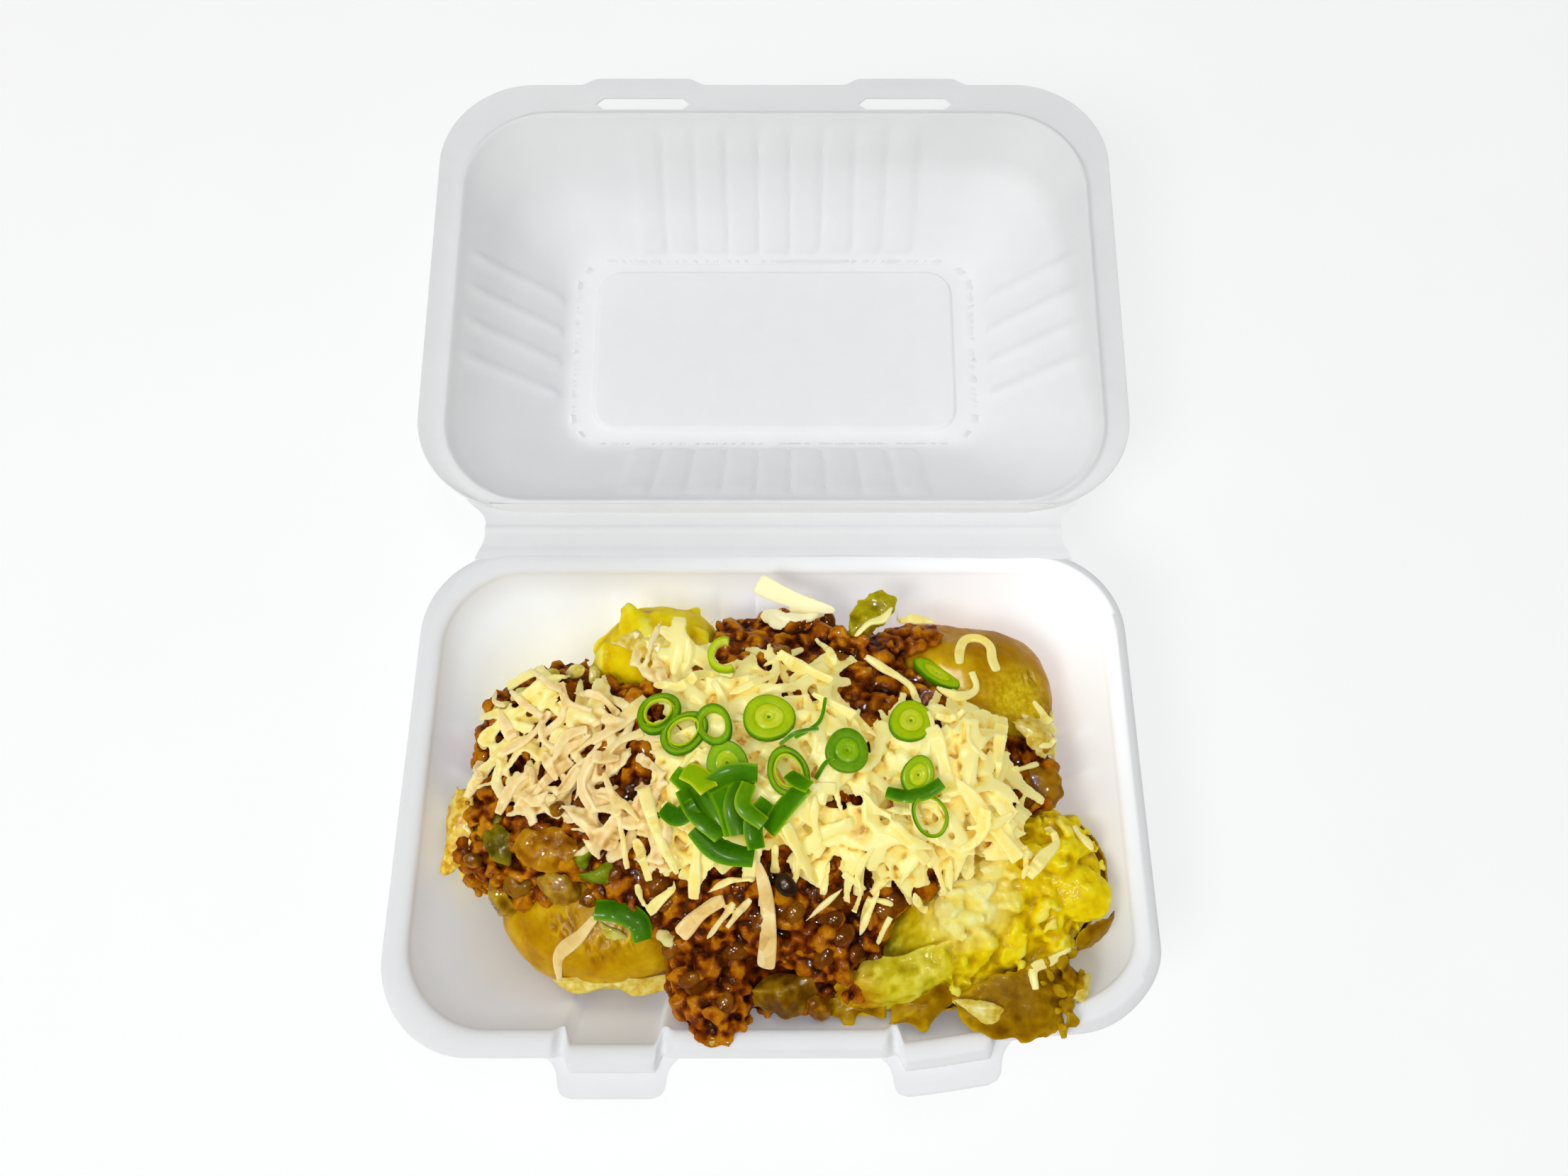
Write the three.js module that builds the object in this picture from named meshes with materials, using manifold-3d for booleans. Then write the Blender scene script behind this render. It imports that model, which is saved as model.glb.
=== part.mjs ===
// A baked potato meal in its hinged takeaway box of moulded pulp. The box stands open and
// holds broken-open baked potatoes under chilli, grated cheese and sliced spring onion.
// Millimetres, +Z up. The origin is the centre of the box's flat bottom, +X runs along the
// long side and +Y from the closing tabs to the hinge.

import * as THREE from "three";
import { mergeVertices } from "three/addons/utils/BufferGeometryUtils.js";
import Module from "manifold-3d";

const wasm = await Module();
wasm.setup();

// ---------------------------------------------------------------- driving dimensions

const gap = 0.35; // clear space between pieces that lie against each other
const pulp = 1.0; // wall of the box
const wallOffset = 0.7 * pulp; // sideways step from the inside of a leaning wall to its outside
const foodClear = 2.4; // from the food to the walls of the box

const tray = {
  width: 235, // over the rim
  depth: 161,
  height: 46,
  corner: 29,
  bead: 8, // width of the rounded rim
  beadDrop: 2.5, // from its crest down to its edge
  floorWidth: 165,
  floorDepth: 95,
  floorCorner: 14,
  wallTurn: 3, // the wall's corners are this much tighter than the rim's
};

const lid = {
  width: 251, // over the flange
  depth: 170,
  corner: 34,
  openingWidth: 229.5,
  openingDepth: 152.5,
  openingCorner: 30,
  flangeNear: 3, // flange between the opening and the edge by the hinge
  hollow: 42,
  floorWidth: 164,
  floorDepth: 83.5,
  floorCorner: 14,
  face: -0.8, // the flange lies this far below the crease
  ridge: 0.5, // raised line round the opening
  ridgeWidth: 2.8,
  panelWidth: 142,
  panelDepth: 69,
  panelCorner: 10,
  panelRise: 2.5,
  panelSlope: 1.5,
};

const hinge = {
  reach: 8, // from the rim to the crease, and from the crease to the lid
  width: 198,
  notch: 4, // how far the hollowed ends run out sideways
  axisRise: 0.4, // the crease lies this far above the rim
  leanBack: 6.6, // degrees by which the open lid rises from the crease
  creaseGap: 0.3, // from the crease to each half of the band
  bandDrop: 0.1, // from the underside of the rim's crest down to the band's
  trayHold: 3.5, // how far each half runs on under its own rim
  lidHold: 2,
  meet: 0.7, // its hollowed ends meet the tray's corners this much farther on
};

const rib = {
  height: 1.6,
  from: 0.16, // part of the wall's height where they begin and end
  to: 0.84,
  backPitch: 12.4,
  backCount: 9,
  sidePitch: 13.6,
  sideCount: 4,
};

const tab = {
  offset: 49, // from their own middle to each tab
  shift: 2.5, // that middle lies to the right of the box's
  width: 27,
  jog: 4, // the rim steps out by this much at a tab
  flare: 2.5,
  flapRoot: 38,
  flapTip: 31,
  flapReach: 11,
  flapRound: 4,
  flapHold: 1.2, // how far it runs on under the rim
  flapDrop: 0.6, // below the rim's edge
  grooveWidth: 3,
  grooveDepth: 1.6,
};

const slot = {
  offset: 50,
  length: 36,
  width: 4.9,
  point: 3,
  fromCrease: 170,
  bulgeWidth: 40,
  bulgeReach: 2.8,
  bulgeFlare: 6,
  bulgeRound: 3,
};

// The heavy food has pushed the rim inwards at the front right corner. The push grows along
// the front and towards the rim.
const dent = { push: 7, from: 28, to: 92, frontFrom: 35, frontTo: 75 };

// The heap is a dome over an uneven outline, which is the farthest reach of its lobes.
const heap = {
  spokes: 32,
  crown: 60, // height of the chilli in the middle
  bottom: 22, // where it ends between the potatoes under it
  shoulder: 43, // and at its outline
  roundness: 3,
  unevenness: 1.3,
  lobes: [
    { x: -2, y: 2, along: 93, across: 56 },
    { x: -68, y: 17, along: 30, across: 25 },
    { x: -83, y: -15, along: 19, across: 20 },
    { x: -18, y: -60, along: 16, across: 19 },
    { x: 19, y: -50, along: 23, across: 22 },
  ],
};

const cheese = {
  middle: 3.6, // thickness in the middle and at the edge
  edge: 1.7,
  widest: 0.9, // of the chilli's own outline
  lobes: [
    { x: 8, y: -2, along: 60, across: 34 },
    { x: -68, y: 17, along: 29, across: 21 },
    { x: -36, y: 34, along: 22, across: 20 },
    { x: -34, y: -16, along: 24, across: 21 },
    { x: 64, y: -1, along: 22, across: 25 },
  ],
};

// Each potato is cut clear of the ones named before it. The first, the third and the fourth
// lie with their skin up.
const potatoes = [
  { name: "potato_front_left", at: [-52, -37, 24], size: [34, 25, 25], turn: -8, tip: 0, skin: true },
  { name: "potato_front_right", at: [65, -41, 27], size: [51, 25, 28], turn: 33, tip: 5, fine: true },
  { name: "potato_front_scrap", at: [74, -63, 39], size: [21, 13, 12], turn: 8, tip: 0, skin: true },
  { name: "potato_back_right", at: [63, 33, 26], size: [35, 23, 27], turn: -30, tip: 0, skin: true },
  { name: "potato_back_left", at: [-38, 45, 29], size: [25, 20, 29], turn: 8, tip: 0 },
  { name: "potato_left", at: [-84, -14, 30], size: [22, 21, 18], turn: 0, tip: 8 },
  { name: "potato_left_back", at: [-72, 25, 25], size: [23, 18, 24], turn: 20, tip: 0 },
];

const crumb = { tries: 400, keep: 34, smallest: 2.8, largest: 4.8 };
const bean = { tries: 90, keep: 6, size: [5.6, 3.6, 3.2] };
const shred = { tries: 260, keep: 30, width: 2.6, thick: 1.3, shortest: 13, longest: 25 };

const strands = [
  { name: "cheese_strand_front", from: [-3, -30], to: [1, -54], bend: 2 },
  { name: "cheese_strand_left", from: [-67, -57], to: [-50, -43], bend: 3 },
  { name: "cheese_strand_back", from: [-5, 62], to: [20, 54], bend: -1 },
  { name: "cheese_strand_right", from: [58, 40], to: [74, 47], bend: 6 },
  { name: "cheese_strand_middle", from: [-26, -46], to: [-18, -36], bend: 1 },
];

const onion = { wall: 1.3, thick: 3.6, sides: 10 };

// Slices of spring onion, by the place of their middle on the heap.
const onionRings = [
  { at: [-26, 10], radius: 6.0 },
  { at: [-34, 16], radius: 6.6 },
  { at: [-17, 12], radius: 5.4 },
  { at: [5, -2], radius: 6.4 },
  { at: [46, -14], radius: 6.2 },
  { at: [-16, 35], radius: 6.0, half: true },
];
const onionDiscs = [
  { at: [42, 14], radius: 6.4 },
  { at: [43, -2], radius: 4.8 },
  { at: [22, 4], radius: 6.4 },
  { at: [-1, 14], radius: 7.0 },
  { at: [-13, 1], radius: 5.8 },
  { at: [52, 33], radius: 6.0, stretch: 1.5, turn: -35 },
];
const greens = {
  at: [-11, -16],
  reach: [17, 10], // from the pile's middle to its outermost leaves
  leaves: 9,
  length: 20,
  width: 5,
  thick: 1,
  mound: [15, 10, 2.4],
};
const leaves = [
  { name: "onion_leaf_left", at: [-45, -42], turn: -30, length: 17 },
  { name: "onion_leaf_right", at: [41, -8], turn: -4, length: 15 },
];

const chunks = [
  { name: "pepper_back", at: [32, 56], size: [8, 6, 4.5], turn: 20 },
  { name: "pepper_front", at: [4, -61], size: [9, 7, 5], turn: -15 },
  { name: "tomato_left", at: [-66, -22], size: [9, 7, 4.5], turn: 10 },
  { name: "pepper_left", at: [-84, -12], size: [7, 5, 4], turn: 50 },
  { name: "onion_left", at: [-61, -35], size: [8, 5, 3.5], turn: -20 },
];

// ---------------------------------------------------------------- materials

const material = (color, roughness) => new THREE.MeshStandardMaterial({ color, roughness, metalness: 0 });
const pulpWhite = material(0xeeeeec, 0.75);
const potatoSkin = material(0xa97c1c, 0.45);
const potatoFlesh = material(0xd8c04a, 0.6);
const chilliSauce = material(0x6b2e0c, 0.3);
const paleCheese = material(0xf1e3a8, 0.5);
const onionGreen = material(0x3f8f1f, 0.4);
const onionPale = material(0xa9cf4e, 0.4);
const pepperGreen = material(0x6e7a1e, 0.35);
const tomatoRed = material(0xa8541c, 0.3);

// ---------------------------------------------------------------- solids and helpers

const radians = THREE.MathUtils.degToRad;
const mix = THREE.MathUtils.lerp;

// The same sequence of draws, from 0 to 1, at every run.
function draws(seed) {
  let state = seed;
  return () => {
    state = (state * 1664525 + 1013904223) % 4294967296;
    return state / 4294967296;
  };
}

// A smooth uneven value between -1 and 1.
function waver(x, y, z) {
  return (Math.sin(x + 2 * Math.sin(y)) + Math.sin(1.3 * y + z) + Math.sin(1.7 * z - 0.6 * x)) / 3;
}

// A closed solid from points and triangles, turned so that its faces point out.
function solidFrom(points, faces) {
  const position = points.flat();
  let volume = 0;
  for (let i = 0; i < faces.length; i += 3) {
    const [a, b, c] = [0, 1, 2].map((k) => new THREE.Vector3(...points[faces[i + k]]));
    volume += a.dot(b.cross(c));
  }
  const triangles = volume < 0 ? [...faces].reverse() : faces;
  return new wasm.Manifold(
    new wasm.Mesh({
      numProp: 3,
      vertProperties: new Float32Array(position),
      triVerts: new Uint32Array(triangles),
    }),
  );
}

function solidOf(geometry) {
  const bare = new THREE.BufferGeometry().setAttribute("position", geometry.getAttribute("position"));
  if (geometry.index) bare.setIndex(geometry.index);
  const merged = mergeVertices(bare, 1e-3);
  return new wasm.Manifold(
    new wasm.Mesh({
      numProp: 3,
      vertProperties: merged.attributes.position.array,
      triVerts: new Uint32Array(merged.index.array),
    }),
  );
}

function meshOf(name, solid, surface) {
  const made = solid.getMesh();
  const geometry = new THREE.BufferGeometry();
  geometry.setAttribute("position", new THREE.BufferAttribute(made.vertProperties, 3));
  geometry.setIndex(new THREE.BufferAttribute(made.triVerts, 1));
  geometry.computeVertexNormals();
  const mesh = new THREE.Mesh(geometry, surface);
  mesh.name = name;
  return mesh;
}

const join = (solids) => solids.reduce((all, one) => all.add(one));
const touches = (solid, others) => others.some((other) => solid.intersect(other).volume() > 0);

// The largest of the pieces that a cut leaves, with any sealed hollow filled.
function largest(solid) {
  return solid.decompose().reduce((best, piece) => (piece.volume() > best.volume() ? piece : best));
}

// One solid through a stack of rings with the same number of points. Each end is closed by a
// fan round its middle or, across a thin section, by rungs from one long side to the other.
function loft(rings, rungs = false) {
  const count = rings[0].length;
  const points = rings.flat();
  const faces = [];
  for (let start = 0; start + count < points.length; start += count) {
    for (let i = 0; i < count; i++) {
      const a = start + i;
      const b = start + ((i + 1) % count);
      faces.push(a, b, b + count, a, b + count, a + count);
    }
  }
  const close = (first, flip) => {
    const add = (a, b, c) => faces.push(...(flip ? [a, b, c] : [a, c, b]));
    if (rungs) {
      for (let i = 0; i < count / 2 - 1; i++) {
        const across = count - 1 - i;
        add(first + i, first + i + 1, first + across);
        add(first + i + 1, first + across - 1, first + across);
      }
      return;
    }
    const ring = points.slice(first, first + count);
    const middle = [0, 1, 2].map((axis) => ring.reduce((sum, p) => sum + p[axis], 0) / count);
    points.push(middle);
    const centre = points.length - 1;
    for (let i = 0; i < count; i++) add(first + i, first + ((i + 1) % count), centre);
  };
  const last = points.length - count;
  close(0, false);
  close(last, true);
  return solidFrom(points, faces);
}

// A rounded rectangle seen from above. Each side may hold stations, which are a place along
// the side, how far a rib moves it and how far a tab moves it.
function roundedLoop(level, sides = {}) {
  const { halfWidth, halfDepth, corner, height, ribs = 0, tabs = 0, centreY = 0 } = level;
  const { front = [], side = [], back = [] } = sides;
  const cornerSteps = 4;
  const points = [];
  const out = ([, byRib, byTab = 0]) => byRib * ribs + byTab * tabs;
  const arc = (signX, signY, start) => {
    for (let i = 0; i <= cornerSteps; i++) {
      const angle = radians(start + (90 * i) / cornerSteps);
      points.push([
        signX * (halfWidth - corner) + corner * Math.cos(angle),
        centreY + signY * (halfDepth - corner) + corner * Math.sin(angle),
        height,
      ]);
    }
  };
  for (const s of front) points.push([s[0], centreY - halfDepth - out(s), height]);
  arc(1, -1, -90);
  for (const s of side) points.push([halfWidth + out(s), s[0], height]);
  arc(1, 1, 0);
  for (const s of [...back].reverse()) points.push([s[0], centreY + halfDepth + out(s), height]);
  arc(-1, 1, 90);
  for (const s of [...side].reverse()) points.push([-halfWidth - out(s), s[0], height]);
  arc(-1, -1, 180);
  return points;
}

function between(low, high, part, extra) {
  const level = {};
  for (const key of Object.keys(low)) level[key] = mix(low[key], high[key], part);
  return { ...level, ...extra };
}

// Stations of a row of ribs that stand into the hollow, with valleys between them.
function ribStations(count, pitch, middle = 0) {
  const stations = [];
  for (let i = 0; i <= 2 * count; i++) {
    stations.push([middle + (i - count) * (pitch / 2), i % 2 ? -rib.height : 0]);
  }
  return stations;
}

// A flat plate with its outline in X and Y.
function plate(shape, low, thick) {
  const geometry = new THREE.ExtrudeGeometry(shape, { depth: thick, bevelEnabled: false, curveSegments: 4 });
  return solidOf(geometry.translate(0, 0, low));
}

// Half of the hinge band, from near the crease to under the rim. Its hollowed ends run out
// into the rim's corners, which they meet at a place of their own.
function bandShape(from, meet, to) {
  const half = hinge.width / 2;
  const wide = half + hinge.notch;
  const shape = new THREE.Shape();
  shape.moveTo(-half, from);
  shape.lineTo(half, from);
  shape.quadraticCurveTo(half, mix(from, meet, 0.75), wide, meet);
  shape.lineTo(half - hinge.notch, to);
  shape.lineTo(hinge.notch - half, to);
  shape.lineTo(-wide, meet);
  shape.quadraticCurveTo(-half, mix(from, meet, 0.75), -half, from);
  return shape;
}

// ---------------------------------------------------------------- box

// Moves a point of the tray by its dent.
function dented([x, y, z]) {
  const along = THREE.MathUtils.smoothstep(x, dent.from, dent.to);
  const front = THREE.MathUtils.smoothstep(-y, dent.frontFrom, dent.frontTo);
  return [x, y + dent.push * along * front * (z / tray.height), z];
}

function dentSolid(solid) {
  const { vertProperties, triVerts } = solid.getMesh();
  const points = [];
  for (let i = 0; i < vertProperties.length; i += 3) points.push(dented(vertProperties.slice(i, i + 3)));
  return solidFrom(points, [...triVerts]);
}

const rimBack = tray.depth / 2;
const creaseY = rimBack + hinge.reach;
const creaseZ = tray.height + hinge.axisRise;
const tabMiddles = [tab.shift - tab.offset, tab.shift + tab.offset];

function makeTray() {
  const floorIn = {
    halfWidth: tray.floorWidth / 2,
    halfDepth: tray.floorDepth / 2,
    corner: tray.floorCorner,
    height: pulp,
  };
  const topIn = {
    halfWidth: tray.width / 2 - tray.bead,
    halfDepth: tray.depth / 2 - tray.bead,
    corner: tray.corner - tray.wallTurn,
    height: tray.height - tray.beadDrop,
  };
  const rim = (inset, height, corner) => ({
    halfWidth: tray.width / 2 - inset,
    halfDepth: tray.depth / 2 - inset,
    corner,
    height,
    tabs: 1,
  });
  const outside = (level) => ({
    ...level,
    halfWidth: level.halfWidth + wallOffset,
    halfDepth: level.halfDepth + wallOffset,
    height: Math.max(0, level.height - pulp),
  });
  const lower = between(floorIn, topIn, rib.from, { ribs: 1, tabs: rib.from });
  const upper = between(floorIn, topIn, rib.to, { ribs: 1, tabs: rib.to });
  const top = { ...topIn, tabs: 1 };
  const crest = rim(tray.bead / 2, tray.height, tray.corner - 1);
  const underCrest = rim(tray.bead / 2, tray.height - pulp, tray.corner - 1);
  const edge = rim(0, tray.height - tray.beadDrop, tray.corner);
  const wall = [floorIn, lower, upper, top];
  const levels = [...wall, crest, edge, underCrest, ...wall.map(outside).reverse()];

  const half = tab.width / 2;
  const tabStations = tabMiddles.flatMap((middle) => [
    [middle - half - tab.flare, 0, 0],
    [middle - half, 0, tab.jog],
    [middle + half, 0, tab.jog],
    [middle + half + tab.flare, 0, 0],
  ]);
  const sides = {
    front: tabStations,
    side: ribStations(rib.sideCount, rib.sidePitch),
    back: ribStations(rib.backCount, rib.backPitch),
  };
  const shell = loft(levels.map((level) => roundedLoop(level, sides)));

  const bandEnd = rimBack - hinge.trayHold;
  const bandOutline = bandShape(creaseY - hinge.creaseGap, bandEnd - hinge.meet, bandEnd);
  const band = plate(bandOutline, tray.height - pulp - hinge.bandDrop, pulp);
  const flaps = tabMiddles.map(makeFlap);
  const grooves = tabMiddles.flatMap((middle) =>
    [-1, 1].map((end) => makeGroove(middle + end * (half + tab.grooveWidth / 2))),
  );
  const whole = join([shell, band, ...flaps]);
  return dentSolid(grooves.reduce((left, groove) => left.subtract(groove), whole));
}

// The flap below the rim at a tab, narrower at its tip, with rounded corners.
function makeFlap(middle) {
  const root = -tray.depth / 2 + tab.flapHold;
  const tip = -tray.depth / 2 - tab.flapReach;
  const side = tab.flapTip / 2;
  const round = tab.flapRound;
  const shape = new THREE.Shape();
  shape.moveTo(middle - tab.flapRoot / 2, root);
  shape.lineTo(middle - side, tip + round);
  shape.quadraticCurveTo(middle - side, tip, middle - side + round, tip);
  shape.lineTo(middle + side - round, tip);
  shape.quadraticCurveTo(middle + side, tip, middle + side, tip + round);
  shape.lineTo(middle + tab.flapRoot / 2, root);
  return plate(shape, tray.height - tray.beadDrop - tab.flapDrop, pulp);
}

// A narrow channel across the top of the rim, on each side of a tab.
function makeGroove(middle) {
  const across = 2.5 * tray.bead;
  const cutter = new THREE.CylinderGeometry(tab.grooveWidth / 2, tab.grooveWidth / 2, across, 8);
  const lift = tray.height + tab.grooveWidth / 2 - tab.grooveDepth;
  return solidOf(cutter.translate(middle, -tray.depth / 2, lift));
}

// The lid is made flat, with its crease on the X axis and its opening face up.
function makeLid() {
  const openingNear = hinge.reach + lid.flangeNear;
  const openingMiddle = openingNear + lid.openingDepth / 2;
  const face = lid.face;
  const floorIn = {
    halfWidth: lid.floorWidth / 2,
    halfDepth: lid.floorDepth / 2,
    corner: lid.floorCorner,
    height: -lid.hollow,
    centreY: openingMiddle,
  };
  const topIn = {
    halfWidth: lid.openingWidth / 2,
    halfDepth: lid.openingDepth / 2,
    corner: lid.openingCorner,
    height: face - wallOffset,
    centreY: openingMiddle,
  };
  const grown = (level, by, height) => ({
    ...level,
    halfWidth: level.halfWidth + by,
    halfDepth: level.halfDepth + by,
    height,
  });
  const outside = (level) => grown(level, wallOffset, level.height - pulp);
  const edge = (height) => ({
    halfWidth: lid.width / 2,
    halfDepth: lid.depth / 2,
    corner: lid.corner,
    height,
    centreY: hinge.reach + lid.depth / 2,
  });
  const lower = between(floorIn, topIn, rib.from, { ribs: 1 });
  const upper = between(floorIn, topIn, rib.to, { ribs: 1 });
  const wall = [floorIn, lower, upper, topIn];
  const levels = [
    ...wall,
    grown(topIn, lid.ridgeWidth / 2, face + lid.ridge),
    grown(topIn, lid.ridgeWidth, face),
    edge(face),
    edge(face - pulp),
    ...wall.map(outside).reverse(),
  ];
  const row = ribStations(rib.backCount, rib.backPitch);
  const sides = { front: row, side: ribStations(rib.sideCount, rib.sidePitch, openingMiddle), back: row };
  const shell = loft(levels.map((level) => roundedLoop(level, sides)));

  const panel = (margin, low, high) =>
    loft([
      roundedLoop(panelLevel(margin, low, openingMiddle)),
      roundedLoop(panelLevel(margin - lid.panelSlope, high, openingMiddle)),
    ]);
  const raised = panel(0, -lid.hollow - pulp / 2, -lid.hollow + lid.panelRise);
  const sunk = panel(-pulp, -lid.hollow - 2 * pulp, -lid.hollow + lid.panelRise - pulp);
  const bandEnd = hinge.reach + hinge.lidHold;
  const band = plate(bandShape(hinge.creaseGap, bandEnd, bandEnd), face - pulp + hinge.bandDrop, pulp);
  const bulges = [-slot.offset, slot.offset].map((middle) => makeBulge(middle, face - pulp));
  const slots = [-slot.offset, slot.offset].map(makeSlot);
  const whole = join([shell, raised, band, ...bulges]).subtract(sunk);
  return slots.reduce((left, cut) => left.subtract(cut), whole);
}

function panelLevel(margin, height, centreY) {
  return {
    halfWidth: lid.panelWidth / 2 + margin,
    halfDepth: lid.panelDepth / 2 + margin,
    corner: lid.panelCorner,
    height,
    centreY,
  };
}

function makeBulge(middle, low) {
  const edge = hinge.reach + lid.depth;
  const half = slot.bulgeWidth / 2;
  const shape = new THREE.Shape();
  const wide = half + slot.bulgeFlare;
  const tip = half - slot.bulgeRound;
  const far = edge + slot.bulgeReach;
  shape.moveTo(middle - wide, edge - pulp);
  shape.lineTo(middle + wide, edge - pulp);
  shape.quadraticCurveTo(middle + half, edge, middle + tip, far);
  shape.lineTo(middle - tip, far);
  shape.quadraticCurveTo(middle - half, edge, middle - wide, edge - pulp);
  return plate(shape, low, pulp);
}

function makeSlot(middle) {
  const half = slot.length / 2;
  const side = slot.width / 2;
  const shape = new THREE.Shape();
  shape.moveTo(middle - half, slot.fromCrease);
  shape.lineTo(middle - half + slot.point, slot.fromCrease - side);
  shape.lineTo(middle + half - slot.point, slot.fromCrease - side);
  shape.lineTo(middle + half, slot.fromCrease);
  shape.lineTo(middle + half - slot.point, slot.fromCrease + side);
  shape.lineTo(middle - half + slot.point, slot.fromCrease + side);
  return plate(shape, lid.face - 3 * pulp, 5 * pulp);
}

// ---------------------------------------------------------------- room for the food

// The space inside the closed box, a little clear of the dented tray and of the shut lid.
// Over the rim it reaches out as far as the lid's own opening.
function makeRoom() {
  const clear = foodClear;
  const wallTop = tray.height - tray.beadDrop;
  const overRim = tray.height + gap;
  const underLid = creaseZ + lid.hollow - 2 * clear;
  const lidMiddle = creaseY - (hinge.reach + lid.flangeNear + lid.openingDepth / 2);
  const level = (halfWidth, halfDepth, corner, height, centreY = 0) => ({
    halfWidth,
    halfDepth,
    corner,
    height,
    centreY,
  });
  const inset = (by, height) =>
    level(tray.width / 2 - by, tray.depth / 2 - by, tray.corner - tray.wallTurn, height);
  const lidWidth = lid.openingWidth / 2 - 1.4 * clear;
  const lidReach = lid.openingDepth / 2 - clear;
  const front = { front: [-60, -30, 0, 20, 34, 48, 62].map((x) => [x, 0, 0]) };
  const inTray = [
    level(tray.floorWidth / 2 - clear, tray.floorDepth / 2 - clear, tray.floorCorner + clear, pulp + gap),
    inset(tray.bead + clear, wallTop),
    inset(tray.bead - pulp, overRim),
  ].map((one) => roundedLoop(one, front).map(dented));
  const inLid = [
    level(lidWidth, lidReach, tray.corner, overRim + 0.05),
    level(lidWidth, lidReach, tray.corner, overRim + pulp),
    level(lid.floorWidth / 2 - clear, lid.floorDepth / 2 - clear, lid.floorCorner, underLid, lidMiddle),
  ].map((one) => roundedLoop(one, front));
  return loft([...inTray, ...inLid]);
}

// ---------------------------------------------------------------- potatoes

// A smooth, slightly lumpy piece of potato, or the same piece grown a little on all sides.
function potatoBlob({ at, size, turn, tip, fine = false }, grow = 0) {
  const geometry = new THREE.IcosahedronGeometry(1, fine ? 3 : 2);
  const position = geometry.getAttribute("position");
  const point = new THREE.Vector3();
  const placed = new THREE.Matrix4().compose(
    new THREE.Vector3(...at),
    new THREE.Quaternion().setFromEuler(new THREE.Euler(0, -radians(tip), radians(turn), "ZYX")),
    new THREE.Vector3(1, 1, 1),
  );
  for (let i = 0; i < position.count; i++) {
    point.fromBufferAttribute(position, i).normalize();
    const swell = 1 + 0.06 * waver(3 * point.x + at[0], 3 * point.y + at[1], 3 * point.z);
    point.set(
      point.x * (size[0] * swell + grow),
      point.y * (size[1] * swell + grow),
      point.z * (size[2] * swell + grow),
    );
    point.applyMatrix4(placed);
    position.setXYZ(i, point.x, point.y, point.z);
  }
  return solidOf(geometry);
}

// ---------------------------------------------------------------- heap of chilli and cheese

// How far a lobe reaches from the heap's middle along a direction, or 0 where it is missed.
function lobeReach(lobe, angle) {
  const dx = Math.cos(angle) / lobe.along;
  const dy = Math.sin(angle) / lobe.across;
  const cx = lobe.x / lobe.along;
  const cy = lobe.y / lobe.across;
  const square = dx * dx + dy * dy;
  const along = dx * cx + dy * cy;
  const inside = along * along - square * (cx * cx + cy * cy - 1);
  return inside < 0 ? 0 : (along + Math.sqrt(inside)) / square;
}

const reach = (lobes, angle) => Math.max(...lobes.map((lobe) => lobeReach(lobe, angle)));
const chilliReach = (angle) => reach(heap.lobes, angle);
const cheeseReach = (angle) => Math.min(reach(cheese.lobes, angle), cheese.widest * chilliReach(angle));

// Height of the bare chilli above the bottom of the box.
function chilliTop(x, y) {
  const part = Math.min(1, Math.hypot(x, y) / chilliReach(Math.atan2(y, x)));
  const dome = mix(heap.crown, heap.shoulder, part ** heap.roundness);
  return dome + heap.unevenness * waver(x / 9, y / 9, 0);
}

// Height of the bare cheese above its outline's chilli, or of the chilli outside it.
function cheeseTop(x, y) {
  const part = Math.hypot(x, y) / cheeseReach(Math.atan2(y, x));
  return chilliTop(x, y) + (part > 1 ? 0 : gap + mix(cheese.middle, cheese.edge, part * part));
}

// A ring of the heap at a part of the way from its middle to the cheese's outline (0 to 1)
// and on to the chilli's (1 to 2).
function heapRing(part, height) {
  const ring = [];
  for (let i = 0; i < heap.spokes; i++) {
    const angle = (2 * Math.PI * i) / heap.spokes;
    const inner = cheeseReach(angle);
    const far = part <= 1 ? inner * part : mix(inner, chilliReach(angle), part - 1);
    const x = far * Math.cos(angle);
    const y = far * Math.sin(angle);
    ring.push([x, y, height(x, y)]);
  }
  return ring;
}

const innerParts = [0.36, 0.7, 1];
const outerParts = [1.5, 2];

// The outline of the cheese counts as inside it, whatever the rounding.
const shrunk = (height) => (x, y) => height(x * 0.999, y * 0.999);

function makeChilliCore() {
  const bottom = heapRing(2, () => heap.bottom);
  const tops = [...outerParts].reverse().concat([...innerParts].reverse());
  return loft([bottom, ...tops.map((part) => heapRing(part, shrunk(chilliTop)))]);
}

function makeCheeseCore() {
  const under = (x, y) => chilliTop(x, y) + gap;
  const tops = innerParts.map((part) => heapRing(part, shrunk(cheeseTop)));
  const bottoms = [...innerParts].reverse().map((part) => heapRing(part, shrunk(under)));
  return loft([...tops, ...bottoms]);
}

// A small lump of minced meat or a bean, half sunk in the chilli.
function makeLump(geometry, x, y, turn, size, sink) {
  geometry.scale(...size).rotateZ(turn);
  return solidOf(geometry.translate(x, y, chilliTop(x, y) + size[2] * sink));
}

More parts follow.
